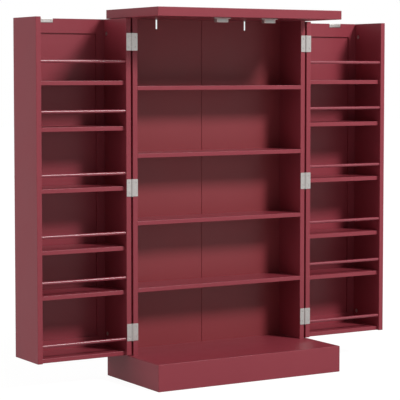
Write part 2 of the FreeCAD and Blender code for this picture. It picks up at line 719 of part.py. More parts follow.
def make_door(side, sign):
    """A deep rack door, folded right back: a box of boards behind rods, with a framed front at its rear."""
    name = f"{side}_door"
    board_tops = [f"({DOOR_LOW} + sizes.door_shelf_{number}_height)" for number in range(1, DOOR_SHELVES + 1)]
    board_tops.append(f"({DOOR_LOW} + sizes.door_shelf_thickness)")
    board_labels = [f"{name}_shelf_{number}" for number in range(1, DOOR_SHELVES + 1)]
    board_labels.append(f"{name}_bottom_board")

    joints = (
        (sign, f"({DOOR_INNER_START} - sizes.dowel_in_panel)"),
        (sign, f"({DOOR_INNER_END} - sizes.dowel_in_shelf)"),
    )
    depths = (f"{DOOR_SHELF_FRONT} + sizes.dowel_inset", f"{FRAME_FACE} - sizes.dowel_inset")
    board_middles = [f"({top} - sizes.door_shelf_thickness / 2)" for top in board_tops]
    pegs, bores = level_dowels(joints, depths, board_middles)
    node(copies(f"{name}_dowels", dowel, pegs))
    dowel_bores = copies(f"{name}_dowel_bores", dowel_hole, bores)

    rod_length = f"({DOOR_INNER_WIDTH} + 2 * sizes.rod_socket_depth)"
    rod_start = f"({DOOR_INNER_START} - sizes.rod_socket_depth)"
    socket_length = f"({rod_length} + 2 * sizes.rod_clearance)"
    socket_start = f"({rod_start} - sizes.rod_clearance)"
    rod_y = f"{EDGE} + sizes.rod_setback"
    rods = []
    sockets = []
    for number, top in enumerate(board_tops, start=1):
        height = f"{top} + sizes.rod_{number}_rise"
        rods.append(cylinder(
            f"{name}_rod_{number}", "sizes.rod_diameter / 2", rod_length,
            (outward(sign, rod_start, rod_length), rod_y, height), "x",
        ))
        sockets.append(cylinder(
            f"{name}_socket_{number}", "sizes.rod_diameter / 2 + sizes.rod_clearance", socket_length,
            (outward(sign, socket_start, socket_length), rod_y, height), "x",
        ))
    node(compound(f"{name}_rods", rods))

    cam_places = []
    bore_places = []
    bolts = []
    bolt_bores = []
    bolt_start = f"({FRAME_FACE} - sizes.cam_distance + sizes.cam_diameter / 2 + sizes.cam_clearance)"
    bolt_length = f"({FRAME_FACE} + sizes.bolt_engagement - {bolt_start})"
    half_side = "sizes.door_side_thickness / 2"
    cam_y = f"{FRAME_FACE} - sizes.cam_distance"
    for row, height in (("low", f"{DOOR_LOW} + sizes.cam_rise"), ("high", f"{DOOR_HIGH} - sizes.cam_drop")):
        for end, face, middle, facing in (
            ("hinge", DOOR_INNER_START, f"({DOOR_INNER_START} - {half_side})", sign),
            ("free", DOOR_INNER_END, f"({DOOR_INNER_END} + {half_side})", -sign),
        ):
            looking = FreeCAD.Rotation(FreeCAD.Vector(0, 1, 0), 90 * facing)
            sunk = FreeCAD.Rotation(FreeCAD.Vector(0, 1, 0), -90 * facing)
            cam_places.append(((point_out(sign, face), cam_y, height), looking))
            bore_places.append(((point_out(sign, face), cam_y, height), sunk))
            bolt_x = point_out(sign, middle)
            bolts.append(cylinder(
                f"{name}_{end}_{row}_bolt", "sizes.bolt_diameter / 2", bolt_length,
                (bolt_x, bolt_start, height), "y",
            ))
            bolt_bores.append(cylinder(
                f"{name}_{end}_{row}_bolt_bore", "sizes.bolt_diameter / 2 + sizes.cam_clearance",
                f"{bolt_length} + sizes.cam_clearance", (bolt_x, bolt_start, height), "y",
            ))
    cams = copies(f"{name}_cams", cam, cam_places)
    cam_bores = copies(f"{name}_cam_bores", cam_bore, bore_places)
    bolt_holes = compound(f"{name}_bolt_bores", bolt_bores)

    strike_corner = (
        outward(sign, f"({STRIKE_MIDDLE_OUT} - sizes.strike_length / 2)", "sizes.strike_length"),
        f"{FRAME_FACE} - sizes.strike_thickness", STRIKE_LOW,
    )
    strike_screws = [
        ((f"{point_out(sign, STRIKE_MIDDLE_OUT)} + {half} * sizes.strike_screw_spacing / 2",
          f"{FRAME_FACE} - sizes.strike_thickness", f"{STRIKE_LOW} + sizes.strike_height / 2"), UPRIGHT)
        for half in (-1, 1)
    ]
    strike_pilots = copies(f"{name}_strike_pilots", screw_hole, strike_screws)
    plate = box(
        f"{name}_strike_blank", strike_corner,
        ("sizes.strike_length", "sizes.strike_thickness", "sizes.strike_height"),
    )
    node(cut(f"{name}_strike_plate", plate, [strike_pilots]))

    leaf_screws = leaf_screw_places(sign, 1)
    pilots = copies(f"{name}_side_pilots", screw_hole, leaf_screws)
    screws = copies(f"{name}_screws", screw, leaf_screws + strike_screws)
    node(compound(f"{name}_fasteners", [screws, cams] + bolts))
    node(copies(f"{name}_hinge_leaves", door_leaf, hinge_places(sign)))

    drillings = [compound(f"{name}_sockets", sockets), dowel_bores, cam_bores, bolt_holes]
    for end, start, cutters in (
        ("hinge", DOOR_HINGE_OUT, drillings + [pilots]),
        ("free", DOOR_INNER_END, drillings),
    ):
        node(board(
            f"{name}_{end}_side", (outward(sign, start, "sizes.door_side_thickness"), EDGE, DOOR_LOW),
            ("sizes.door_side_thickness", f"{FRAME_FACE} - {EDGE}", DOOR_HEIGHT), ("back",), cutters,
        ))
    for label, top in zip(board_labels, board_tops):
        node(board(
            label,
            (outward(sign, DOOR_INNER_START, DOOR_INNER_WIDTH), DOOR_SHELF_FRONT,
             f"{top} - sizes.door_shelf_thickness"),
            (DOOR_INNER_WIDTH, f"{FRAME_FACE} - {DOOR_SHELF_FRONT}", "sizes.door_shelf_thickness"),
            ("left", "right", "back"), [dowel_bores],
        ))
    make_front(name, sign, bolt_holes, strike_pilots)
    node(copies(f"{name}_knob", knob, [((point_out(sign, KNOB_OUT), DOOR_REAR, KNOB_Z), WORLD_AXES["y"])]))


def check_and_write():
    """Stop at any failed object or bad shape, then write each piece to its own file."""
    doc.recompute()
    for item in doc.Objects:
        if "Invalid" in item.State or "Error" in item.State:
            raise RuntimeError(f"{item.Label} failed: {item.State}")
    for piece in nodes:
        if piece.Shape.isNull() or not piece.Shape.isValid() or not piece.Shape.Solids:
            raise RuntimeError(f"{piece.Label} has no valid solid")
    os.makedirs("parts", exist_ok=True)
    for piece in nodes:
        piece.Shape.exportStep(f"parts/{piece.Label}.step")
        print(f"{piece.Label}: {len(piece.Shape.Solids)} solids, {piece.Shape.Volume / 1000:.2f} cm3")
    print(f"{len(nodes)} pieces written")


make_cabinet()
for side_name, side_sign in SIDES:
    make_door(side_name, side_sign)
check_and_write()
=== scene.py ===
import json
import logging
import math
from dataclasses import dataclass
from enum import Enum

import bmesh
import bpy
from mathutils import Matrix, Vector


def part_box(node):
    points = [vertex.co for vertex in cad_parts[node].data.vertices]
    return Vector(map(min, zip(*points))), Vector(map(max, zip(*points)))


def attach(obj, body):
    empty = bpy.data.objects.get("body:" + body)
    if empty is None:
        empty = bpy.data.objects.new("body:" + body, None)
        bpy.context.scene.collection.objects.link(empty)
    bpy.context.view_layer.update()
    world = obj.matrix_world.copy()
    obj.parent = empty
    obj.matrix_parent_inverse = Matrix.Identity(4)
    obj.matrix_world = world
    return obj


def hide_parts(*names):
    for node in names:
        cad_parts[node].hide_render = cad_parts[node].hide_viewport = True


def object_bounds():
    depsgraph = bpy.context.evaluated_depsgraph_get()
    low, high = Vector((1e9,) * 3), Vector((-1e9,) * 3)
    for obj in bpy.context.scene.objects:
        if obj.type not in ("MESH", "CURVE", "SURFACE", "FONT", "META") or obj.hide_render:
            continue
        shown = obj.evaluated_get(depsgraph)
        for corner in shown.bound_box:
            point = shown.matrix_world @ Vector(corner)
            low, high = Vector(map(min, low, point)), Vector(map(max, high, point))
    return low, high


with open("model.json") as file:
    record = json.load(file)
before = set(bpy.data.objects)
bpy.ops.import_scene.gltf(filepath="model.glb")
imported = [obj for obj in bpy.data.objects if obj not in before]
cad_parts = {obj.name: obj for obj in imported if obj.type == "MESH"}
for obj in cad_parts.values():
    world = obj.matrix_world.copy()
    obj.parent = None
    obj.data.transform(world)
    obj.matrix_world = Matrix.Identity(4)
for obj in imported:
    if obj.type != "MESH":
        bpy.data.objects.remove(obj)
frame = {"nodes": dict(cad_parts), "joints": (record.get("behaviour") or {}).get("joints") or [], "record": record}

# Straight after loading, the box round everything is the box of the solids
CAD_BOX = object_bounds()
MM = 0.001
QUARTER = math.pi / 2
WHITE = "#FFFFFF"
# Faces that meet at more than this keep a sharp edge
SHARP_ANGLE = math.radians(38)
# Faces across an eased edge, and the profile that makes them round
EASED_FACES = 3
ROUND_PROFILE = 0.5
# Settings of a boolean that joins shapes and of one that cuts shapes away
UNITE = {"operation": "UNION", "solver": "EXACT"}
CUT = {"operation": "DIFFERENCE", "solver": "EXACT"}
LOG = logging.getLogger("kitchen_hutch")

Colour = tuple[float, float, float, float]
Turn = tuple[float, float, float]
Limits = tuple[float, float]
Sockets = dict[str | int, object]
Tree = bpy.types.NodeTree
Node = bpy.types.Node
Socket = bpy.types.NodeSocket
Material = bpy.types.Material
Piece = bpy.types.Object
Form = bmesh.types.BMesh

# Turns what stands along +Z to the rear
REARWARD: Turn = (-QUARTER, 0.0, 0.0)


class Side(Enum):
    """The two doors, by the way along X in which each one folds back."""

    LEFT = -1
    RIGHT = 1

    @property
    def body(self) -> str:
        """Name of the door's body."""
        return f"{self.name.lower()}_door"

    def node(self, piece: str) -> str:
        """Name of one of the door's nodes."""
        return f"{self.body}_{piece}"


class Slot(Enum):
    """Material slots of the record."""

    BOARD = "painted_board"
    HARDBOARD = "painted_hardboard"
    ROD = "lacquered_rod"
    STEEL = "zinc_steel"
    PLASTIC = "catch_plastic"
    MAGNET = "magnet"
    NICKEL = "knob_nickel"
    BEECH = "beech_dowel"


@dataclass(frozen=True)
class Place:
    """Where one copy of a repeated piece goes, and how it is turned about X, Y and Z."""

    at: Vector
    turn: Turn = (0.0, 0.0, 0.0)


def srgb(code: str) -> Colour:
    """Turn an sRGB hex value into a linear colour.

    Args:
        code: Six hex digits after a hash sign.

    Returns:
        Linear red, green, blue and a full alpha.
    """
    shares = [int(code[start:start + 2], 16) / 255 for start in (1, 3, 5)]
    linear = [share / 12.92 if share <= 0.04045 else ((share + 0.055) / 1.055) ** 2.4 for share in shares]
    return linear[0], linear[1], linear[2], 1.0


def per_metre(size_mm: float) -> float:
    """Scale of a pattern whose features are this many millimetres wide."""
    return 1.0 / (size_mm * MM)


def add_node(tree: Tree, kind: str, inputs: Sockets | None = None, **settings: object) -> Node:
    """Add a node with its settings, and fill or link its inputs.

    Args:
        tree: Tree that gets the node.
        kind: The node's type.
        inputs: For each input, by its name or number, a value, a socket, a node whose first output is meant,
            or a list of these.
        **settings: The node's own properties.

    Returns:
        The new node.
    """
    node = tree.nodes.new(kind)
    for name, value in settings.items():
        setattr(node, name, value)
    for key, value in (inputs or {}).items():
        for source in value if isinstance(value, list) else [value]:
            if isinstance(source, Node):
                source = source.outputs[0]
            if isinstance(source, Socket):
                tree.links.new(source, node.inputs[key])
            else:
                node.inputs[key].default_value = source
    return node


@dataclass(frozen=True)
class Finish:
    """What every finish has: the name of its material, two shades of its colour and its roughness."""

    name: str
    colour: str
    second_colour: str
    roughness: float
    roughness_spread: float
    # A noise keeps mostly between these values
    noise_limits: Limits = (0.3, 0.7)

    def material(self) -> Material:
        """Build the finish.

        Returns:
            A node material on object coordinates.
        """
        material = bpy.data.materials.new(self.name)
        material.use_nodes = True
        tree = material.node_tree
        tree.nodes.clear()
        coordinates = add_node(tree, "ShaderNodeTexCoord").outputs["Object"]
        shader = add_node(tree, "ShaderNodeBsdfPrincipled", self.surface(tree, coordinates))
        add_node(tree, "ShaderNodeOutputMaterial", {"Surface": shader})
        return material

    def surface(self, tree: Tree, coordinates: Socket) -> Sockets:
        """Give the shader's inputs, each a value or a pattern on the object's coordinates."""
        raise NotImplementedError

    def shades(self, tree: Tree, pattern: Node | Socket) -> Socket:
        """Spread the two shades of the colour over a pattern of values from 0 to 1."""
        inputs = {0: pattern, 6: srgb(self.colour), 7: srgb(self.second_colour)}
        return add_node(tree, "ShaderNodeMix", inputs, data_type="RGBA").outputs[2]

    def polish(self, tree: Tree, pattern: Node) -> Node:
        """Vary the roughness with a noise.

        Args:
            tree: The material's tree.
            pattern: The noise.

        Returns:
            The roughness.
        """
        least, most = self.noise_limits
        spread = self.roughness_spread
        return add_node(tree, "ShaderNodeMapRange", {
            "Value": pattern, "From Min": least, "From Max": most,
            "To Min": self.roughness - spread, "To Max": self.roughness + spread,
        })


@dataclass(frozen=True)
class SprayedPaint(Finish):
    """Satin paint sprayed on board: an even film that dries to faint orange peel and shows a soft sheen."""

    index: float = 1.4
    cloud_mm: float = 140.0
    # Real orange peel is 2 to 3 mm across, drawn coarser so that it shows
    peel_mm: float = 6.0
    peel_depth_mm: float = 0.03

    def surface(self, tree: Tree, coordinates: Socket) -> Sockets:
        """Cloud the film's colour and sheen, and pebble its surface.

        Args:
            tree: The material's tree.
            coordinates: Where each point lies on the object.

        Returns:
            The shader's inputs.
        """
        cloud = add_node(tree, "ShaderNodeTexNoise", {
            "Vector": coordinates, "Scale": per_metre(self.cloud_mm), "Detail": 4.0, "Roughness": 0.55,
        })
        peel = add_node(tree, "ShaderNodeTexNoise", {
            "Vector": coordinates, "Scale": per_metre(self.peel_mm), "Detail": 2.0, "Roughness": 0.4,
        })
        pebbles = add_node(tree, "ShaderNodeBump", {
            "Strength": 0.35, "Distance": self.peel_depth_mm * MM, "Height": peel,
        })
        return {
            "Base Color": self.shades(tree, cloud), "Roughness": self.polish(tree, cloud), "IOR": self.index,
            "Normal": pebbles,
        }


@dataclass(frozen=True)
class LacqueredRod(Finish):
    """Gloss lacquer on turned beech: the long pores show through, and the film mirrors lamps."""

    index: float = 1.5
    # Pores are 1 to 2 mm long and far finer across, drawn coarser so that they show
    pore_length_mm: float = 30.0
    pore_width_mm: float = 2.0
    pore_depth_mm: float = 0.03

    def surface(self, tree: Tree, coordinates: Socket) -> Sockets:
        """Stretch the grain along the rods and let it dent the film.

        Args:
            tree: The material's tree.
            coordinates: Where each point lies on the object.

        Returns:
            The shader's inputs.
        """
        across = per_metre(self.pore_width_mm)
        stretched = add_node(tree, "ShaderNodeMapping", {
            "Vector": coordinates, "Scale": (per_metre(self.pore_length_mm), across, across),
        })
        grain = add_node(tree, "ShaderNodeTexNoise", {
            "Vector": stretched, "Scale": 1.0, "Detail": 3.0, "Roughness": 0.6,
        })
        dents = add_node(tree, "ShaderNodeBump", {
            "Strength": 0.1, "Distance": self.pore_depth_mm * MM, "Height": grain,
        })
        return {
            "Base Color": self.shades(tree, grain), "Roughness": self.polish(tree, grain), "IOR": self.index,
            "Normal": dents,
        }


@dataclass(frozen=True)
class PlatedMetal(Finish):
    """Plated metal: small crystals shade the plating, and rolling or turning leaves fine lines along it."""

    # Crystals of a thin plating are under 1 mm, drawn larger so that they show
    crystal_mm: float = 3.0
    line_length_mm: float = 12.0
    line_width_mm: float = 0.8
    line_depth_mm: float = 0.02

    def surface(self, tree: Tree, coordinates: Socket) -> Sockets:
        """Shade the crystals and score the lines.

        Args:
            tree: The material's tree.
            coordinates: Where each point lies on the object.

        Returns:
            The shader's inputs.
        """
        crystals = add_node(tree, "ShaderNodeTexVoronoi", {
            "Vector": coordinates, "Scale": per_metre(self.crystal_mm),
        }).outputs["Color"]
        across = per_metre(self.line_width_mm)
        stretched = add_node(tree, "ShaderNodeMapping", {
            "Vector": coordinates, "Scale": (across, across, per_metre(self.line_length_mm)),
        })
        lines = add_node(tree, "ShaderNodeTexNoise", {
            "Vector": stretched, "Scale": 1.0, "Detail": 2.0, "Roughness": 0.5,
        })
        scores = add_node(tree, "ShaderNodeBump", {
            "Strength": 0.3, "Distance": self.line_depth_mm * MM, "Height": lines,
        })
        return {
            "Base Color": self.shades(tree, crystals), "Roughness": self.polish(tree, lines),
            "Metallic": 1.0, "Normal": scores,
        }


@dataclass(frozen=True)
class UncoatedStock(Finish):
    """Moulded plastic or milled beech with no film on it: an even colour under a fine matt grain."""

    index: float = 1.5
    # Share of silvery metal flakes in it
    flake: float = 0.0
    # The grain is 0.2 to 0.5 mm, drawn coarser so that it shows
    grain_mm: float = 1.5
    grain_depth_mm: float = 0.06

    def surface(self, tree: Tree, coordinates: Socket) -> Sockets:
        """Speckle the colour and roughen the skin.

        Args:
            tree: The material's tree.
            coordinates: Where each point lies on the object.

        Returns:
            The shader's inputs.
        """
        grain = add_node(tree, "ShaderNodeTexNoise", {
            "Vector": coordinates, "Scale": per_metre(self.grain_mm), "Detail": 3.0, "Roughness": 0.6,
        })
        skin = add_node(tree, "ShaderNodeBump", {
            "Strength": 0.4, "Distance": self.grain_depth_mm * MM, "Height": grain,
        })
        return {
            "Base Color": self.shades(tree, grain), "Roughness": self.polish(tree, grain),
            "Metallic": self.flake, "IOR": self.index, "Normal": skin,
        }


FINISHES: dict[Slot, Finish] = {
    Slot.BOARD: SprayedPaint("satin_paint_on_fibreboard", "#8B3540", "#903843", 0.36, 0.04),
    # The backs' paint is darker than the boards': partly the hardboard's own tone, partly painted shade for the
    # recessed backs, which catch less light
    Slot.HARDBOARD: SprayedPaint(
        "satin_paint_on_hardboard", "#833137", "#88333A", 0.4, 0.04, index=1.42, peel_mm=8.0,
    ),
    Slot.ROD: LacqueredRod("gloss_lacquer_on_beech_rod", "#8A3743", "#923C48", 0.28, 0.03),
    Slot.STEEL: PlatedMetal("zinc_plated_steel", "#BEB9B6", "#CAC5C2", 0.36, 0.06),
    Slot.NICKEL: PlatedMetal("satin_nickel", "#B9B5AD", "#C2BEB6", 0.3, 0.05, crystal_mm=6.0),
    Slot.PLASTIC: UncoatedStock("silver_flake_moulded_abs", "#BFB0AD", "#CBBCB9", 0.4, 0.06, flake=0.7),
    Slot.MAGNET: PlatedMetal("nickel_plated_magnet", "#A9A8A5", "#B4B3B0", 0.34, 0.05),
    Slot.BEECH: UncoatedStock("bare_beech_dowel", "#C79C6B", "#B98A58", 0.6, 0.05, grain_mm=4.0),
}


class PaintShop:
    """The finishes as materials, one for each slot of the record."""

    def __init__(self) -> None:
        """Build every material once."""
        self.materials = {slot: finish.material() for slot, finish in FINISHES.items()}

    def dress(self, body: str) -> None:
        """Give the solids of a body the finishes that the record names.

        Args:
            body: The body.
        """
        slots = {part["node"]: Slot(part["material_slot"]) for part in frame["record"]["subparts"]}
        for name in frame["record"]["behaviour"]["bodies"][body]:
            piece = frame["nodes"][name]
            if not piece.material_slots:
                piece.data.materials.append(None)
            for material_slot in piece.material_slots:
                material_slot.material = self.materials[slots[name]]

    def hand_over(self, piece: Piece, body: str, slot: Slot, *nodes: str) -> None:
        """Tie a finished piece to its body, and hide the solids that it stands for.

        Args:
            piece: The piece, in its place.
            body: Body that carries it.
            slot: Not used.
            *nodes: Solids that it stands for, if any.
        """
        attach(piece, body)
        if nodes:
            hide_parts(*nodes)
        LOG.info("%s on %s: %d faces", piece.name, body, len(piece.data.polygons))


def smooth_rounds(mesh: bpy.types.Mesh) -> None:
    """Shade rounds smooth and keep corners sharp."""
    mesh.shade_smooth()
    mesh.set_sharp_from_angle(angle=SHARP_ANGLE)


def new_piece(name: str, form: Form, material: Material) -> Piece:
    """Make a piece at the origin from a finished form.

    Args:
        name: The piece's name.
        form: Its shape, which is used up.
        material: Its finish.

    Returns:
        The piece.
    """
    bmesh.ops.recalc_face_normals(form, faces=form.faces)
    mesh = bpy.data.meshes.new(name)
    form.to_mesh(mesh)
    form.free()
    mesh.materials.append(material)
    smooth_rounds(mesh)
    piece = bpy.data.objects.new(name, mesh)
    bpy.context.scene.collection.objects.link(piece)
    return piece


def settle(piece: Piece) -> None:
    """Turn what a piece's modifiers give into its plain mesh.

    Args:
        piece: The piece, which is left with no modifiers.
    """
    graph = bpy.context.evaluated_depsgraph_get()
    mesh = bpy.data.meshes.new_from_object(piece.evaluated_get(graph))
    piece.modifiers.clear()
    rough = piece.data
    piece.data = mesh
    bpy.data.meshes.remove(rough)
    mesh.name = piece.name
    smooth_rounds(mesh)


def carve(piece: Piece, cutter: Form) -> None:
    """Take a form away from a piece.

    Args:
        piece: The piece.
        cutter: What is cut out, which is used up.
    """
    tool = new_piece(f"{piece.name}_cutter", cutter, piece.data.materials[0])
    cut = piece.modifiers.new("cut", "BOOLEAN")
    for name, value in CUT.items():
        setattr(cut, name, value)
    cut.object = tool
    settle(piece)
    bpy.data.objects.remove(tool)


def add_block(form: Form, low: Vector, high: Vector, easing: float = 0.0) -> None:
    """Add a block to a form.

    Args:
        form: The form.
        low: The block's lowest corner.
        high: Its highest corner.
        easing: Radius of its edges, or 0 for sharp ones.
    """
    seat = Matrix.Translation((low + high) / 2) @ Matrix.Diagonal((*(high - low), 1.0))
    corners = bmesh.ops.create_cube(form, size=1.0, matrix=seat)["verts"]
    if easing:
        edges = list({edge for corner in corners for edge in corner.link_edges})
        bmesh.ops.bevel(
            form, geom=edges, offset=easing, segments=EASED_FACES, profile=ROUND_PROFILE, affect="EDGES",
        )


def add_turned(form: Form, outline: list[tuple[float, float]], seat: Matrix, sides: int) -> None:
    """Add a turned shape to a form.

    Args:
        form: The form.
        outline: Radius and height of each ring, closed by a radius of 0 at both ends.
        seat: Where the shape's foot stands and how its axis is turned.
        sides: Number of sides all round.
    """
    rings = []
    for radius, height in outline:
        count = sides if radius else 1
        angles = [math.tau * number / count for number in range(count)]
        spots = [Vector((radius * math.cos(angle), radius * math.sin(angle), height)) for angle in angles]
        rings.append([form.verts.new(seat @ spot) for spot in spots])
    for lower, upper in zip(rings, rings[1:]):
        for number in range(sides):
            following = (number + 1) % sides
            corners = (
                lower[number % len(lower)], lower[following % len(lower)],
                upper[following % len(upper)], upper[number % len(upper)],
            )
            form.faces.new(list(dict.fromkeys(corners)))


class SizedTree:
    """A geometry tree with named sizes, which sets its shape at every place of a piece."""

    TURN = "turn"
    # Sides of its round shapes
    SIDES = 28

    def __init__(self, name: str, lengths: list[str], vectors: list[str], *counts: str) -> None:
        """Start a tree.

        Args:
            name: The tree's name.
            lengths: Its inputs that are lengths.
            vectors: Its inputs that are points, steps or extents.
            *counts: Its inputs that are numbers of things, besides that of the sides.
        """
        self.tree = bpy.data.node_groups.new(name, "GeometryNodeTree")
        for kind, labels in (
            ("Geometry", ["Places"]), ("Material", ["Finish"]), ("Float", lengths), ("Vector", vectors),
            ("Int", ["Sides", *counts]),
        ):
            for label in labels:
                self.tree.interface.new_socket(label, in_out="INPUT", socket_type=f"NodeSocket{kind}")
        self.tree.interface.new_socket("Pieces", in_out="OUTPUT", socket_type="NodeSocketGeometry")
        self.given = self.add("NodeGroupInput").outputs

    def add(self, kind: str, inputs: Sockets | None = None, **settings: object) -> Node:
        """Add a node to the tree, as add_node does."""
        return add_node(self.tree, kind, inputs, **settings)

    def close(self, shape: Node) -> None:
        """Set the shape at every place and finish it.

        Args:
            shape: The shape at the origin.
        """
        turn = self.add("GeometryNodeInputNamedAttribute", {"Name": self.TURN}, data_type="FLOAT_VECTOR")
        rotation = self.add("FunctionNodeEulerToRotation", {"Euler": turn})
        copies = self.add("GeometryNodeInstanceOnPoints", {
            "Points": self.given["Places"], "Instance": shape, "Rotation": rotation,
        })
        real = self.add("GeometryNodeRealizeInstances", {"Geometry": copies})
        finished = self.add("GeometryNodeSetMaterial", {"Geometry": real, "Material": self.given["Finish"]})
        self.add("NodeGroupOutput", {"Pieces": finished})

    def grow(self, name: str, places: list[Place], finish: Material, **sizes: object) -> Piece:
        """Make a piece from the tree.

        Args:
            name: The piece's name.
            places: Where its copies go.
            finish: Its material.
            **sizes: The tree's inputs by name, with underscores for spaces and lengths in millimetres.

        Returns:
            The piece, as a plain mesh.
        """
        mesh = bpy.data.meshes.new(f"{name}_places")
        mesh.from_pydata([place.at for place in places], [], [])
        turns = mesh.attributes.new(self.TURN, "FLOAT_VECTOR", "POINT")
        for item, place in zip(turns.data, places):
            item.vector = place.turn
        piece = bpy.data.objects.new(name, mesh)
        modifier = piece.modifiers.new(self.tree.name, "NODES")
        modifier.node_group = self.tree
        values = {"Finish": finish, "Sides": self.SIDES, **sizes}
        for socket in self.tree.interface.items_tree:
            if socket.socket_type == "NodeSocketGeometry":
                continue
            value = values[socket.name.replace(" ", "_")]
            if socket.socket_type == "NodeSocketFloat":
                value = value * MM
            elif socket.socket_type == "NodeSocketVector":
                value = tuple(part * MM for part in value)
            modifier[socket.identifier] = value
        bpy.context.scene.collection.objects.link(piece)
        settle(piece)
        return piece


class ScrewTree(SizedTree):
    """Countersunk screws with a cross recess, along +Z from the face of the head."""

    def __init__(self) -> None:
        """Build the head and the shank, and cut the recess."""
        super().__init__(
            "countersunk_screws", ["Head Radius", "Shank Radius", "Head Height", "Length"],
            ["Shank Middle", "First Arm", "Second Arm"],
        )
        given = self.given
        head = self.add("GeometryNodeMeshCone", {
            "Vertices": given["Sides"], "Radius Bottom": given["Head Radius"],
            "Radius Top": given["Shank Radius"], "Depth": given["Head Height"],
        })
        shank = self.add("GeometryNodeMeshCylinder", {
            "Vertices": given["Sides"], "Radius": given["Shank Radius"], "Depth": given["Length"],
        })
        seated = self.add("GeometryNodeTransform", {"Geometry": shank, "Translation": given["Shank Middle"]})
        whole = self.add("GeometryNodeMeshBoolean", {"Mesh 2": [head, seated]}, **UNITE)
        arms = [
            self.add("GeometryNodeMeshCube", {"Size": given[arm]}) for arm in ("First Arm", "Second Arm")
        ]
        self.close(self.add("GeometryNodeMeshBoolean", {"Mesh 1": whole, "Mesh 2": arms}, **CUT))


class BarTree(SizedTree):
    """Round bars with eased ends, along +Z from their foot."""

    SIDES = 32
    RINGS = 4

    def __init__(self) -> None:
        """Sweep a circle along four points, drawn in at the first and the last."""
        super().__init__("round_bars", ["Radius", "End Ease", "Straight Length"], ["Far End"])
        given = self.given
        line = self.add("GeometryNodeCurvePrimitiveLine", {"End": given["Far End"]})
        points = self.add("GeometryNodeResampleCurve", {"Curve": line, "Count": self.RINGS})
        index = self.add("GeometryNodeInputIndex")
        height: Node | float = 0.0
        for passed, stretch in enumerate(("End Ease", "Straight Length", "End Ease")):
            step = self.add("ShaderNodeMath", {
                0: index, 1: float(passed),
            }, operation="SUBTRACT", use_clamp=True)
            height = self.add("ShaderNodeMath", {
                0: step, 1: given[stretch], 2: height,
            }, operation="MULTIPLY_ADD")
        spot = self.add("ShaderNodeCombineXYZ", {"Z": height})
        spaced = self.add("GeometryNodeSetPosition", {"Geometry": points, "Position": spot})
        middle = (self.RINGS - 1) / 2
        inner = self.add("ShaderNodeMath", {0: index, 1: middle, 2: 1.0}, operation="COMPARE")
        outer = self.add("ShaderNodeMath", {0: 1.0, 1: inner}, operation="SUBTRACT")
        share = self.add("ShaderNodeMath", {0: given["End Ease"], 1: given["Radius"]}, operation="DIVIDE")
        drawn_in = self.add("ShaderNodeMath", {0: outer, 1: share}, operation="MULTIPLY")
        scale = self.add("ShaderNodeMath", {0: 1.0, 1: drawn_in}, operation="SUBTRACT")
        circle = self.add("GeometryNodeCurvePrimitiveCircle", {
            "Resolution": given["Sides"], "Radius": given["Radius"],
        })
        self.close(self.add("GeometryNodeCurveToMesh", {
            "Curve": spaced, "Profile Curve": circle, "Scale": scale, "Fill Caps": True,
        }))

    def lengthwise(self, name: str, places: list[Place], finish: Material, length: float, diameter: float,
                   ease: float) -> Piece:
        """Make bars of one length.

        Args:
            name: The piece's name.
            places: Feet of the bars.
            finish: Their material.
            length: Length of each, in millimetres.
            diameter: Diameter of each.
            ease: Size of the chamfer at both ends.

        Returns:
            The piece.
        """
        return self.grow(
            name, places, finish, Radius=diameter / 2, End_Ease=ease, Straight_Length=length - 2 * ease,
            Far_End=(0.0, 0.0, length),
        )


class CamTree(SizedTree):
    """Cam discs with a dished face and a crossed screwdriver slot, sunk along -Z from their face."""

    SIDES = 36

    def __init__(self) -> None:
        """Cut a dish, a long slot and a short slot in a disc."""
        super().__init__(
            "cam_discs", ["Radius", "Depth", "Cutter Radius", "Cutter Depth"],
            ["Middle", "Dish Foot", "Long Slot", "Short Slot"],
        )
        given = self.given
        disc = self.add("GeometryNodeMeshCylinder", {
            "Vertices": given["Sides"], "Radius": given["Radius"], "Depth": given["Depth"],
        })
        sunk = self.add("GeometryNodeTransform", {"Geometry": disc, "Translation": given["Middle"]})
        cutter = self.add("GeometryNodeMeshCone", {
            "Vertices": given["Sides"], "Radius Bottom": 0.0, "Radius Top": given["Cutter Radius"],
            "Depth": given["Cutter Depth"],
        })
        dish = self.add("GeometryNodeTransform", {"Geometry": cutter, "Translation": given["Dish Foot"]})
        slots = [
            self.add("GeometryNodeMeshCube", {"Size": given[slot]}) for slot in ("Long Slot", "Short Slot")
        ]
        self.close(self.add("GeometryNodeMeshBoolean", {"Mesh 1": sunk, "Mesh 2": [dish, *slots]}, **CUT))


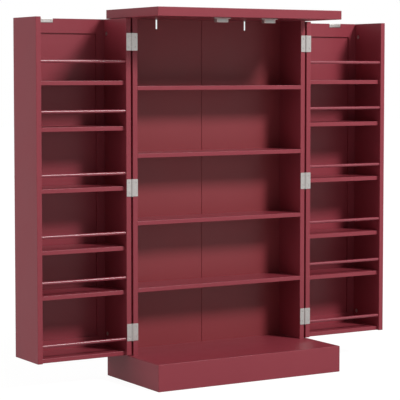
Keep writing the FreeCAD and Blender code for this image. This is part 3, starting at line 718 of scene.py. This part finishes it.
class LeafTree(SizedTree):
    """Butt hinge leaves about their pin: a round-cornered plate that reaches along +X, and its knuckles."""

    CORNER_POINTS = 5
    HOLES = 2
    MERGE_DISTANCE = 0.005 * MM

    def __init__(self) -> None:
        """Make the plate, add the knuckles, then cut the notches, the screw holes and the bore."""
        super().__init__(
            "butt_hinge_leaves",
            ["Plate Width", "Plate Length", "Corner Radius", "Thickness", "Knuckle Radius", "Knuckle Length",
             "Bore Radius", "Bore Length", "Hole Radius", "Hole Foot Radius", "Hole Depth"],
            ["Plate Middle", "First Knuckle", "First Notch", "Knuckle Step", "Notch Size", "First Hole",
             "Hole Step"],
            "Knuckles", "Notches",
        )
        given = self.given
        barrel = self.add("GeometryNodeMeshCylinder", {
            "Vertices": given["Sides"], "Radius": given["Knuckle Radius"], "Depth": given["Knuckle Length"],
        })
        notch = self.add("GeometryNodeMeshCube", {"Size": given["Notch Size"]})
        hole = self.add("GeometryNodeMeshCone", {
            "Vertices": given["Sides"], "Radius Bottom": given["Hole Radius"],
            "Radius Top": given["Hole Foot Radius"], "Depth": given["Hole Depth"],
        })
        laid_hole = self.add("GeometryNodeTransform", {"Geometry": hole, "Rotation": REARWARD})
        rows = []
        for shape, count, first, step in (
            (barrel, given["Knuckles"], "First Knuckle", "Knuckle Step"),
            (notch, given["Notches"], "First Notch", "Knuckle Step"),
            (laid_hole, self.HOLES, "First Hole", "Hole Step"),
        ):
            line = self.add("GeometryNodeMeshLine", {
                "Count": count, "Start Location": given[first], "Offset": given[step],
            })
            row = self.add("GeometryNodeInstanceOnPoints", {"Points": line, "Instance": shape})
            rows.append(self.add("GeometryNodeRealizeInstances", {"Geometry": row}))
        knuckles, notches, holes = rows
        bore = self.add("GeometryNodeMeshCylinder", {
            "Vertices": given["Sides"], "Radius": given["Bore Radius"], "Depth": given["Bore Length"],
        })
        rolled = self.add("GeometryNodeMeshBoolean", {"Mesh 2": [self.plate(), knuckles]}, **UNITE)
        leaf = self.add("GeometryNodeMeshBoolean", {
            "Mesh 1": rolled, "Mesh 2": [notches, holes, bore],
        }, **CUT)
        self.close(self.add("GeometryNodeMergeByDistance", {
            "Geometry": leaf, "Distance": self.MERGE_DISTANCE,
        }))

    def plate(self) -> Node:
        """Round the plate's corners, fill it and thicken it.

        Returns:
            The closed plate.
        """
        outline = self.add("GeometryNodeCurvePrimitiveQuadrilateral", {
            "Width": self.given["Plate Width"], "Height": self.given["Plate Length"],
        })
        rounded = self.add("GeometryNodeFilletCurve", {
            "Curve": outline, "Count": self.CORNER_POINTS, "Radius": self.given["Corner Radius"],
            "Limit Radius": True,
        }, mode="POLY")
        sheet = self.add("GeometryNodeFillCurve", {"Curve": rounded}, mode="NGONS")
        standing = self.add("GeometryNodeTransform", {
            "Geometry": sheet, "Translation": self.given["Plate Middle"], "Rotation": (QUARTER, 0.0, 0.0),
        })
        front = self.add("GeometryNodeExtrudeMesh", {
            "Mesh": standing, "Offset Scale": self.given["Thickness"],
        }, mode="FACES")
        rear = self.add("GeometryNodeFlipFaces", {"Mesh": standing})
        shell = self.add("GeometryNodeJoinGeometry", {"Geometry": [front, rear]})
        return self.add("GeometryNodeMergeByDistance", {"Geometry": shell, "Distance": self.MERGE_DISTANCE})


@dataclass(frozen=True)
class Screws:
    """Countersunk wood screws, in millimetres."""

    head_diameter: float = 5.6
    shank_diameter: float = 3.0
    length: float = 14.0
    recess_length: float = 3.6
    recess_width: float = 1.0
    recess_depth: float = 1.0

    @property
    def head_height(self) -> float:
        """Height of the head's cone, whose sides slope by 45 degrees."""
        return (self.head_diameter - self.shank_diameter) / 2

    def drive(self, tree: ScrewTree, name: str, places: list[Place], finish: Material) -> Piece:
        """Set screws in their places.

        Args:
            tree: The screws' tree.
            name: The piece's name.
            places: The faces of their heads.
            finish: Their material.

        Returns:
            The screws as one piece.
        """
        # Half of each arm stands out of the head's face
        long, short, deep = self.recess_length, self.recess_width, 2 * self.recess_depth
        return tree.grow(
            name, places, finish, Head_Radius=self.head_diameter / 2, Shank_Radius=self.shank_diameter / 2,
            Head_Height=self.head_height, Length=self.length, Shank_Middle=(0.0, 0.0, self.length / 2),
            First_Arm=(long, short, deep), Second_Arm=(short, long, deep),
        )


class Fittings:
    """The geometry trees of what repeats, built once."""

    def __init__(self) -> None:
        """Build each tree."""
        self.screws = ScrewTree()
        self.bars = BarTree()
        self.cams = CamTree()
        self.leaves = LeafTree()


@dataclass(frozen=True)
class ButtHinges:
    """The hinges of both doors, in millimetres, on the pin lines of the joints."""

    length: float = 48.0
    end_inset: float = 41.0
    knuckles: int = 5
    knuckle_diameter: float = 5.0
    knuckle_play: float = 0.3
    notch_width: float = 5.3
    reach: float = 17.4
    thickness: float = 1.5
    leaf_gap: float = 0.3
    corner_radius: float = 1.2
    pin_diameter: float = 2.6
    pin_head_diameter: float = 4.4
    pin_head_height: float = 0.8
    # Share of a pin head's width that is flat on top
    pin_flat_share: float = 0.7
    pin_sides: int = 24
    screw_out: float = 10.4
    screw_spacing: float = 28.0
    screws: Screws = Screws()
    # The screw heads sit this far below the leaves, with this much room round them
    head_sink: float = 0.45
    head_room: float = 0.3
    # The holes are cut this far past both faces
    overcut: float = 0.2

    def pins(self, side: Side) -> list[Vector]:
        """Find the middles of one door's pins.

        Args:
            side: The door.

        Returns:
            A point for each hinge, from the lowest up.
        """
        joint = next(joint for joint in frame["joints"] if joint["child"] == side.body)
        low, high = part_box(side.node("hinge_side"))
        inset = (self.end_inset + self.length / 2) * MM
        heights = (low.z + inset, (low.z + high.z) / 2, high.z - inset)
        return [Vector((joint["pos_m"][0], joint["pos_m"][1], height)) for height in heights]

    def screw_places(self, side: Side, outward: int) -> list[Place]:
        """Find the screw heads on one door's hinges.

        Args:
            side: The door.
            outward: 1 for the leaves on the door, -1 for those on the cabinet.

        Returns:
            A place for each screw, pointing to the rear.
        """
        sideways, sunk = side.value * outward * self.screw_out, self.leaf_gap / 2 + self.head_sink
        return [
            Place(pin + Vector((sideways, sunk, half * self.screw_spacing / 2)) * MM, REARWARD)
            for pin in self.pins(side) for half in (-1, 1)
        ]

    def turned(self, side: Side, outward: int) -> list[Place]:
        """Turn one door's hinges so that leaves reach outward, for 1, or inward, for -1."""
        turn = 0.0 if side.value * outward > 0 else math.pi
        return [Place(pin, (0.0, turn, 0.0)) for pin in self.pins(side)]

    def leaves(self, tree: LeafTree, name: str, places: list[Place], first: int, finish: Material) -> Piece:
        """Make leaves that keep every second knuckle.

        Args:
            tree: The leaves' tree.
            name: The piece's name.
            places: Middles of the pins, turned so that the plates reach the right way.
            first: Number of the lowest knuckle that the leaf keeps, 0 or 1.
            finish: Their material.

        Returns:
            The leaves as one piece.
        """
        pitch = self.length / self.knuckles
        lowest = -self.length / 2 + pitch / 2
        kept = len(range(first, self.knuckles, 2))
        countersink = self.screws.head_diameter / 2 + self.head_room + self.overcut
        through = self.thickness + 2 * self.overcut
        return tree.grow(
            name, places, finish, Plate_Width=self.reach, Plate_Length=self.length, Thickness=self.thickness,
            Corner_Radius=self.corner_radius,
            Plate_Middle=(self.reach / 2, self.leaf_gap / 2 + self.thickness, 0.0),
            Knuckle_Radius=self.knuckle_diameter / 2, Knuckle_Length=pitch - self.knuckle_play,
            Knuckles=kept, Notches=self.knuckles - kept, Knuckle_Step=(0.0, 0.0, 2 * pitch),
            First_Knuckle=(0.0, 0.0, lowest + first * pitch),
            First_Notch=(0.0, 0.0, lowest + (1 - first) * pitch),
            Notch_Size=(self.notch_width, self.notch_width, pitch + self.knuckle_play),
            Bore_Radius=self.pin_diameter / 2, Bore_Length=2 * self.length,
            Hole_Radius=countersink, Hole_Foot_Radius=countersink - through, Hole_Depth=through,
            First_Hole=(self.screw_out, self.leaf_gap / 2 - self.overcut, -self.screw_spacing / 2),
            Hole_Step=(0.0, 0.0, self.screw_spacing),
        )

    def pin_piece(self, name: str, finish: Material) -> Piece:
        """Turn all the pins, each with a domed head at both ends.

        Args:
            name: The piece's name.
            finish: Their material.

        Returns:
            The pins as one piece.
        """
        shank, head = self.pin_diameter / 2 * MM, self.pin_head_diameter / 2 * MM
        end, tip = self.length / 2 * MM, (self.length / 2 + self.pin_head_height) * MM
        shoulder = (self.length / 2 + self.pin_head_height / 2) * MM
        upper = [(shank, end), (head, end), (head, shoulder), (head * self.pin_flat_share, tip), (0.0, tip)]
        lower = [(radius, -height) for radius, height in reversed(upper)]
        form = bmesh.new()
        for side in Side:
            for pin in self.pins(side):
                add_turned(form, lower + upper, Matrix.Translation(pin), self.pin_sides)
        return new_piece(name, form, finish)


@dataclass
class Cabinet:
    """The fixed body, in millimetres: painted boards, the catches and the cabinet's half of the hinges."""

    shop: PaintShop
    fittings: Fittings
    hinges: ButtHinges
    body: str = "cabinet"
    catch_length: float = 37.0
    ear_thickness: float = 2.5
    ear_screw_spacing: float = 45.0
    magnet_length: float = 28.0
    pole_thickness: float = 1.4
    pole_easing: float = 0.175
    pole_gap: float = 0.5
    moulding_radius: float = 0.8
    # How far the paint in the seam of the back lies below its face
    seam_recess: float = 1.35

    def catch_middles(self) -> list[float]:
        """Find where the two catches sit along X."""
        low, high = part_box("catch_magnets")
        return [low.x + self.magnet_length / 2 * MM, high.x - self.magnet_length / 2 * MM]

    def catch_ears(self) -> tuple[float, float]:
        """Give how far the ears of a housing reach from its middle, and the height of their underside."""
        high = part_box("catch_housings")[1]
        return high.x - self.catch_middles()[1], high.z - self.ear_thickness * MM

    def build(self) -> None:
        """Dress the boards and make the fittings."""
        self.shop.dress(self.body)
        self.make_seam()
        self.make_hinge_halves()
        self.make_housings()
        self.make_magnets()
        self.make_screws()

    def make_seam(self) -> None:
        """Fill the seam between the halves of the back with paint, from the batten to below their face."""
        left, right = (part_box(f"{half}_back_panel") for half in ("left", "right"))
        front = left[0].y + self.seam_recess * MM
        form = bmesh.new()
        add_block(form, Vector((left[1].x, front, left[0].z)), Vector((right[0].x, left[1].y, left[1].z)))
        bead = new_piece("painted_seam_bead", form, self.shop.materials[Slot.HARDBOARD])
        self.shop.hand_over(bead, self.body, Slot.HARDBOARD)

    def make_hinge_halves(self) -> None:
        """Make the leaves on the cabinet, and all the pins."""
        steel = self.shop.materials[Slot.STEEL]
        places = [place for side in Side for place in self.hinges.turned(side, -1)]
        leaves = self.hinges.leaves(self.fittings.leaves, "cabinet_hinge_leaves", places, 0, steel)
        self.shop.hand_over(leaves, self.body, Slot.STEEL, "hinge_frame_leaves")
        pins = self.hinges.pin_piece("domed_hinge_pins", steel)
        self.shop.hand_over(pins, self.body, Slot.STEEL, "hinge_pins")

    def make_housings(self) -> None:
        """Mould the catches: a rounded block on two ears, with a pocket for the magnet."""
        low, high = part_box("catch_housings")
        magnet_low, magnet_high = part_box("catch_magnets")
        reach, ear_face = self.catch_ears()
        sizes = (self.catch_length / 2, self.magnet_length / 2, self.moulding_radius)
        half, pocket, ease = (size * MM for size in sizes)
        form = bmesh.new()
        pockets = bmesh.new()
        for middle in self.catch_middles():
            add_block(
                form, Vector((middle - half, low.y, low.z)), Vector((middle + half, high.y, high.z)), ease,
            )
            for end in (-1, 1):
                ear = sorted((middle + end * (half - ease), middle + end * reach))
                add_block(form, Vector((ear[0], low.y, ear_face)), Vector((ear[1], high.y, high.z)), ease)
            add_block(
                pockets, Vector((middle - pocket, low.y - ease, magnet_low.z)),
                Vector((middle + pocket, magnet_high.y, magnet_high.z)),
            )
        housings = new_piece("moulded_catch_housings", form, self.shop.materials[Slot.PLASTIC])
        carve(housings, pockets)
        self.shop.hand_over(housings, self.body, Slot.PLASTIC, "catch_housings")

    def make_magnets(self) -> None:
        """Hold each magnet between two pole plates, whose edges stand proud of it."""
        low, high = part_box("catch_magnets")
        sizes = (self.magnet_length / 2, self.pole_thickness, self.pole_gap, self.pole_easing)
        half, pole, gap, ease = (size * MM for size in sizes)
        form = bmesh.new()
        for middle in self.catch_middles():
            # The magnet reaches half way into both plates and stands back from their edges
            for foot, head, inset in (
                (low.z, low.z + pole, 0.0),
                (low.z + pole / 2, high.z - pole / 2, gap),
                (high.z - pole, high.z, 0.0),
            ):
                add_block(
                    form, Vector((middle - half + inset, low.y + inset, foot)),
                    Vector((middle + half - inset, high.y - inset, head)), ease,
                )
        magnets = new_piece("catch_magnet_stacks", form, self.shop.materials[Slot.MAGNET])
        self.shop.hand_over(magnets, self.body, Slot.MAGNET, "catch_magnets")

    def make_screws(self) -> None:
        """Drive the screws of the hinge leaves and of the catches' ears."""
        low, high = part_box("catch_housings")
        _, ear_face = self.catch_ears()
        places = [place for side in Side for place in self.hinges.screw_places(side, -1)]
        places += [
            Place(Vector((middle + half * self.ear_screw_spacing / 2 * MM, (low.y + high.y) / 2, ear_face)))
            for middle in self.catch_middles() for half in (-1, 1)
        ]
        screws = self.hinges.screws.drive(
            self.fittings.screws, "cabinet_countersunk_screws", places, self.shop.materials[Slot.STEEL],
        )
        self.shop.hand_over(screws, self.body, Slot.STEEL, "cabinet_screws")


@dataclass
class RackDoor:
    """One deep door, in millimetres: boards, rods, its half of the hinges, strike plate, cams and knob."""

    side: Side
    shop: PaintShop
    fittings: Fittings
    hinges: ButtHinges
    rod_diameter: float = 9.0
    rod_ease: float = 0.8
    # How far each rod lies above its board, from the top one down
    rod_rises: tuple[float, ...] = (53.0, 42.0, 36.5, 37.5, 35.5, 34.5)
    strike_corner_radius: float = 0.5
    strike_screw_spacing: float = 27.0
    strike_hole_sides: int = 28
    # The strike's holes are cut this far past both faces
    strike_overcut: float = 1.0
    cam_diameter: float = 12.0
    cam_depth: float = 11.0
    cam_distance: float = 14.5
    cam_drop: float = 40.5
    cam_rise: float = 46.5
    cam_slot_width: float = 1.2
    cam_slot_depth: float = 2.6
    cam_dish_diameter: float = 10.4
    cam_dish_depth: float = 2.0
    bolt_diameter: float = 6.0
    bolt_engagement: float = 10.0
    bolt_ease: float = 0.6
    knob_foot_diameter: float = 17.0
    knob_foot_height: float = 1.0
    knob_neck_diameter: float = 11.0
    # The foot's flare takes up this share of the way to the crown's middle
    knob_flare_share: float = 0.5
    # Narrow enough to stay out of sight behind an open door
    knob_crown_diameter: float = 24.0
    knob_crown: float = 9.0
    # Rings in the flare, and twice as many in the crown
    knob_rings: int = 10
    knob_sides: int = 40
    stud_diameter: float = 4.0
    stud_depth: float = 11.0

    def build(self) -> None:
        """Dress the boards and make the fittings."""
        self.shop.dress(self.side.body)
        self.make_rods()
        self.make_leaves()
        self.make_strike()
        self.make_screws()
        self.make_cams()
        self.make_knob()

    def place_piece(self, piece: Piece, slot: Slot, node: str) -> None:
        """Let a piece ride on the door in place of one of its solids."""
        self.shop.hand_over(piece, self.side.body, slot, self.side.node(node))

    def make_rods(self) -> None:
        """Lay the retaining rods across the rack, let into both sides."""
        low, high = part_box(self.side.node("rods"))
        boards = [f"shelf_{number}" for number in range(1, len(self.rod_rises))] + ["bottom_board"]
        heights = [
            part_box(self.side.node(board))[1].z + rise * MM for board, rise in zip(boards, self.rod_rises)
        ]
        depth = (low.y + high.y) / 2
        places = [Place(Vector((low.x, depth, height)), (0.0, QUARTER, 0.0)) for height in heights]
        rods = self.fittings.bars.lengthwise(
            f"{self.side.body}_lacquered_rods", places, self.shop.materials[Slot.ROD], (high.x - low.x) / MM,
            self.rod_diameter, self.rod_ease,
        )
        self.place_piece(rods, Slot.ROD, "rods")

    def make_leaves(self) -> None:
        """Make the leaves on the door."""
        leaves = self.hinges.leaves(
            self.fittings.leaves, f"{self.side.body}_folded_leaves", self.hinges.turned(self.side, 1), 1,
            self.shop.materials[Slot.STEEL],
        )
        self.place_piece(leaves, Slot.STEEL, "hinge_leaves")

    def strike_screw_places(self) -> list[Place]:
        """Find the screw heads in the strike plate.

        Returns:
            A place for each screw, pointing to the rear.
        """
        low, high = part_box(self.side.node("strike_plate"))
        middle = (low + high) / 2
        reach = self.strike_screw_spacing / 2 * MM
        return [Place(Vector((middle.x + half * reach, low.y, middle.z)), REARWARD) for half in (-1, 1)]

    def make_strike(self) -> None:
        """Press the strike plate and countersink its holes."""
        low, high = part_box(self.side.node("strike_plate"))
        form = bmesh.new()
        add_block(form, low, high, self.strike_corner_radius * MM)
        screws, over = self.hinges.screws, self.strike_overcut * MM
        head, shank = screws.head_diameter / 2 * MM, screws.shank_diameter / 2 * MM
        through = high.y - low.y + over
        outline = [
            (0.0, -over), (head, -over), (head, 0.0),
            (shank, head - shank), (shank, through), (0.0, through),
        ]
        holes = bmesh.new()
        for place in self.strike_screw_places():
            seat = Matrix.Translation(place.at) @ Matrix.Rotation(-QUARTER, 4, "X")
            add_turned(holes, outline, seat, self.strike_hole_sides)
        strike = new_piece(f"{self.side.body}_pressed_strike", form, self.shop.materials[Slot.STEEL])
        carve(strike, holes)
        self.place_piece(strike, Slot.STEEL, "strike_plate")

    def make_screws(self) -> None:
        """Drive the screws of the hinge leaves and of the strike plate."""
        places = self.hinges.screw_places(self.side, 1) + self.strike_screw_places()
        screws = self.hinges.screws.drive(
            self.fittings.screws, f"{self.side.body}_countersunk_screws", places,
            self.shop.materials[Slot.STEEL],
        )
        self.place_piece(screws, Slot.STEEL, "fasteners")

    def make_cams(self) -> None:
        """Sink the cams in the sides of the rack and set their bolts."""
        steel = self.shop.materials[Slot.STEEL]
        frame_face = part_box(self.side.node("top_rail"))[0].y
        cam_line = frame_face - self.cam_distance * MM
        bolt_foot = cam_line + self.cam_diameter / 2 * MM
        discs = []
        feet = []
        for end, facing in (("hinge_side", 1), ("free_side", -1)):
            low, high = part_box(self.side.node(end))
            inward = facing * self.side.value
            face = high.x if inward > 0 else low.x
            for height in (low.z + self.cam_rise * MM, high.z - self.cam_drop * MM):
                discs.append(Place(Vector((face, cam_line, height)), (0.0, inward * QUARTER, 0.0)))
                feet.append(Place(Vector(((low.x + high.x) / 2, bolt_foot, height)), REARWARD))
        slot_width, slot_depth = self.cam_slot_width, 2 * self.cam_slot_depth
        cams = self.fittings.cams.grow(
            f"{self.side.body}_slotted_cams", discs, steel, Radius=self.cam_diameter / 2,
            Depth=self.cam_depth, Middle=(0.0, 0.0, -self.cam_depth / 2),
            # The dish's cutter is twice as wide and as deep, so that half of it stands out of the face
            Cutter_Radius=self.cam_dish_diameter, Cutter_Depth=2 * self.cam_dish_depth,
            Dish_Foot=(0.0, 0.0, -self.cam_dish_depth),
            Long_Slot=(2 * self.cam_diameter, slot_width, slot_depth),
            Short_Slot=(slot_width, self.cam_diameter / 2, slot_depth),
        )
        self.place_piece(cams, Slot.STEEL, "fasteners")
        bolts = self.fittings.bars.lengthwise(
            f"{self.side.body}_cam_bolts", feet, steel, (frame_face - bolt_foot) / MM + self.bolt_engagement,
            self.bolt_diameter, self.bolt_ease,
        )
        self.place_piece(bolts, Slot.STEEL, "fasteners")

    def make_knob(self) -> None:
        """Turn the knob: a stud, a foot that flares out of the neck, and a domed crown."""
        low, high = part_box(self.side.node("knob"))
        foot_face = low.y + self.stud_depth * MM
        crown_radius, crown = self.knob_crown_diameter / 2 * MM, self.knob_crown * MM
        middle = high.y - foot_face - crown
        diameters = (self.stud_diameter, self.knob_neck_diameter, self.knob_foot_diameter)
        stud, neck, foot = (diameter / 2 * MM for diameter in diameters)
        stud_end = -self.stud_depth * MM
        outline = [(0.0, stud_end), (stud, stud_end), (stud, 0.0), (foot, 0.0)]
        # The foot draws in to the neck along a quarter of an ellipse
        rise = middle * self.knob_flare_share
        for number in range(self.knob_rings):
            angle = QUARTER * number / self.knob_rings
            height = self.knob_foot_height * MM + (1 - math.cos(angle)) * rise
            outline.append((foot - (foot - neck) * math.sin(angle), height))
        # The crown is a flattened ball from where the neck meets it
        start = -math.acos(neck / crown_radius)
        rings = 2 * self.knob_rings
        for number in range(rings):
            angle = start + (QUARTER - start) * number / rings
            outline.append((crown_radius * math.cos(angle), middle + crown * math.sin(angle)))
        outline.append((0.0, middle + crown))
        seat = Matrix.Translation(((low.x + high.x) / 2, foot_face, (low.z + high.z) / 2))
        form = bmesh.new()
        add_turned(form, outline, seat @ Matrix.Rotation(-QUARTER, 4, "X"), self.knob_sides)
        knob = new_piece(f"{self.side.body}_turned_knob", form, self.shop.materials[Slot.NICKEL])
        self.place_piece(knob, Slot.NICKEL, "knob")


@dataclass(frozen=True)
class SoftLamp:
    """A round soft box that faces the middle of the hutch."""

    name: str
    # Degrees to the right of the front and above the floor, metres to its middle and across it
    turn: float
    height: float
    distance: float
    size: float
    # Share of full light that it gives a surface which faces it, and whether shiny surfaces mirror it
    share: float
    mirrored: bool

    def hang(self, middle: Vector) -> None:
        """Hang the lamp.

        Args:
            middle: The point that it faces.
        """
        data = bpy.data.lights.new(self.name, "AREA")
        data.shape = "DISK"
        data.size = self.size
        data.energy = self.share * math.pi ** 2 * self.distance ** 2
        lamp = bpy.data.objects.new(self.name, data)
        turn, height = math.radians(self.turn), math.radians(self.height)
        level = math.cos(height)
        towards = Vector((math.sin(turn) * level, -math.cos(turn) * level, math.sin(height)))
        lamp.location = middle + towards * self.distance
        lamp.rotation_euler = towards.to_track_quat("Z", "Y").to_euler()
        lamp.visible_glossy = self.mirrored
        bpy.context.scene.collection.objects.link(lamp)


@dataclass
class Studio:
    """A pale floor, a key lamp right of the front, a fill lamp left of it, a surround and the camera."""

    # The camera, in metres, degrees and pixels of a square picture
    picture: float = 400.0
    focal_pixels: float = 1631.94
    sensor_mm: float = 36.0
    camera_at: tuple[float, float, float] = (-2.46372, -3.96379, 0.86160)
    camera_turn: float = -31.122
    camera_tilt: float = -3.737
    camera_shift: float = -0.05
    camera_range: float = 100.0
    lamps: tuple[SoftLamp, ...] = (
        SoftLamp("key_lamp", 28.6, 37.2, 6.8, 1.55, 0.89, True),
        SoftLamp("fill_lamp", -95.0, 12.0, 6.0, 3.0, 0.3, False),
    )
    # The surround lights with these shares from the front and the sides, from behind and from overhead
    surround_share: float = 0.22
    behind_share: float = 0.75
    overhead_share: float = 0.17
    # How far a direction points to the rear, or up, where one share gives way to the next
    behind_limits: Limits = (0.3, 0.8)
    overhead_limits: Limits = (0.2, 0.9)
    # Mirrored, the surround has these shares in front and behind
    front_share: float = 0.74
    rear_share: float = 0.5
    mirror_limits: Limits = (-0.5, 0.5)
    floor_size: float = 40.0
    floor_colour: str = "#CECECC"
    # To the eye, the floor glows up to white and keeps a pale shadow near the plinth
    floor_glow: float = 0.955
    glow_distances: Limits = (0.8, 2.2)
    shadow_colour: str = "#646464"
    # Mirrored, it keeps these shares of that glow in front of the hutch and from its middle back
    floor_mirror_shares: tuple[float, float] = (0.66, 0.5)
    floor_mirror_depths: Limits = (-0.8, 0.0)

    def build(self) -> None:
        """Set up the camera, the lamps, the surround and the floor."""
        self.set_camera()
        for lamp in self.lamps:
            lamp.hang((CAD_BOX[0] + CAD_BOX[1]) / 2)
        self.set_surround()
        self.lay_floor()
        bpy.context.scene.view_settings.view_transform = "Standard"

    def set_camera(self) -> None:
        """Stand the camera where the photographer stood."""
        data = bpy.data.cameras.new("camera")
        data.sensor_width = self.sensor_mm
        data.lens = self.focal_pixels * self.sensor_mm / self.picture
        data.shift_y = self.camera_shift
        data.clip_end = self.camera_range
        camera = bpy.data.objects.new("camera", data)
        camera.location = self.camera_at
        tilt, turn = math.radians(self.camera_tilt), math.radians(self.camera_turn)
        camera.rotation_euler = (QUARTER + tilt, 0.0, turn)
        bpy.context.scene.collection.objects.link(camera)
        bpy.context.scene.camera = camera

    def seen_directly(self, tree: Tree) -> Node:
        """Tell rays from the eye, mirrors and glass from rays that carry light.

        Args:
            tree: Tree that asks.

        Returns:
            1 for what is seen, 0 for what lights.
        """
        path = add_node(tree, "ShaderNodeLightPath").outputs
        mirrored = add_node(tree, "ShaderNodeMath", {
            0: path["Is Glossy Ray"], 1: path["Is Transmission Ray"],
        }, operation="MAXIMUM")
        return add_node(tree, "ShaderNodeMath", {0: path["Is Camera Ray"], 1: mirrored}, operation="MAXIMUM")

    def set_surround(self) -> None:
        """Surround everything with white, and light the object with smaller shares of it."""
        world = bpy.data.worlds.new("white_surround")
        world.use_nodes = True
        tree = world.node_tree
        tree.nodes.clear()
        way = add_node(tree, "ShaderNodeTexCoord").outputs["Generated"]
        split = add_node(tree, "ShaderNodeSeparateXYZ", {"Vector": way}).outputs
        around = add_node(tree, "ShaderNodeMapRange", {
            "Value": split["Y"], "From Min": self.behind_limits[0], "From Max": self.behind_limits[1],
            "To Min": self.surround_share, "To Max": self.behind_share,
        })
        level = add_node(tree, "ShaderNodeMapRange", {
            "Value": split["Z"], "From Min": self.overhead_limits[0], "From Max": self.overhead_limits[1],
            "To Min": around, "To Max": self.overhead_share,
        })
        mirrored = add_node(tree, "ShaderNodeMapRange", {
            "Value": split["Y"], "From Min": self.mirror_limits[0], "From Max": self.mirror_limits[1],
            "To Min": self.front_share, "To Max": self.rear_share,
        })
        seen = add_node(tree, "ShaderNodeLightPath").outputs["Is Camera Ray"]
        strength = add_node(tree, "ShaderNodeMath", {0: seen, 1: mirrored}, operation="MAXIMUM")
        lighting, white = (
            add_node(tree, "ShaderNodeBackground", {"Color": srgb(WHITE), "Strength": share})
            for share in (level, strength)
        )
        both = add_node(tree, "ShaderNodeMixShader", {0: self.seen_directly(tree), 1: lighting, 2: white})
        add_node(tree, "ShaderNodeOutputWorld", {"Surface": both})
        bpy.context.scene.world = world

    def floor_material(self) -> Material:
        """Make the floor's finish, pale where it lights and near white where it is seen.

        Returns:
            A node material on object coordinates.
        """
        material = bpy.data.materials.new("pale_studio_floor")
        material.use_nodes = True
        tree = material.node_tree
        tree.nodes.clear()
        plain, shadowed = (
            add_node(tree, "ShaderNodeBsdfDiffuse", {"Color": srgb(colour)})
            for colour in (self.floor_colour, self.shadow_colour)
        )
        spot = add_node(tree, "ShaderNodeTexCoord").outputs["Object"]
        distance = add_node(tree, "ShaderNodeVectorMath", {0: spot}, operation="LENGTH").outputs["Value"]
        strength = add_node(tree, "ShaderNodeMapRange", {
            "Value": distance, "From Min": self.glow_distances[0], "From Max": self.glow_distances[1],
            "To Min": self.floor_glow, "To Max": 1.0,
        })
        depth = add_node(tree, "ShaderNodeSeparateXYZ", {"Vector": spot}).outputs["Y"]
        mirrored = add_node(tree, "ShaderNodeMapRange", {
            "Value": depth, "From Min": self.floor_mirror_depths[0], "From Max": self.floor_mirror_depths[1],
            "To Min": self.floor_mirror_shares[0], "To Max": self.floor_mirror_shares[1],
        })
        eye = add_node(tree, "ShaderNodeLightPath").outputs["Is Camera Ray"]
        share = add_node(tree, "ShaderNodeMapRange", {"Value": eye, "To Min": mirrored, "To Max": 1.0})
        level = add_node(tree, "ShaderNodeMath", {0: strength, 1: share}, operation="MULTIPLY")
        glow = add_node(tree, "ShaderNodeEmission", {"Color": srgb(WHITE), "Strength": level})
        white = add_node(tree, "ShaderNodeAddShader", {0: shadowed, 1: glow})
        both = add_node(tree, "ShaderNodeMixShader", {0: self.seen_directly(tree), 1: plain, 2: white})
        add_node(tree, "ShaderNodeOutputMaterial", {"Surface": both})
        return material

    def lay_floor(self) -> None:
        """Lay the pale floor under the plinth."""
        form = bmesh.new()
        bmesh.ops.create_grid(form, x_segments=1, y_segments=1, size=self.floor_size / 2)
        floor = new_piece("studio_floor", form, self.floor_material())


def main() -> None:
    """Build the hutch around its frame, then the studio."""
    logging.basicConfig(level=logging.INFO, format="%(name)s: %(message)s")
    shop = PaintShop()
    fittings = Fittings()
    hinges = ButtHinges()
    Cabinet(shop, fittings, hinges).build()
    for side in Side:
        RackDoor(side, shop, fittings, hinges).build()
    Studio().build()


if __name__ == "__main__":
    main()
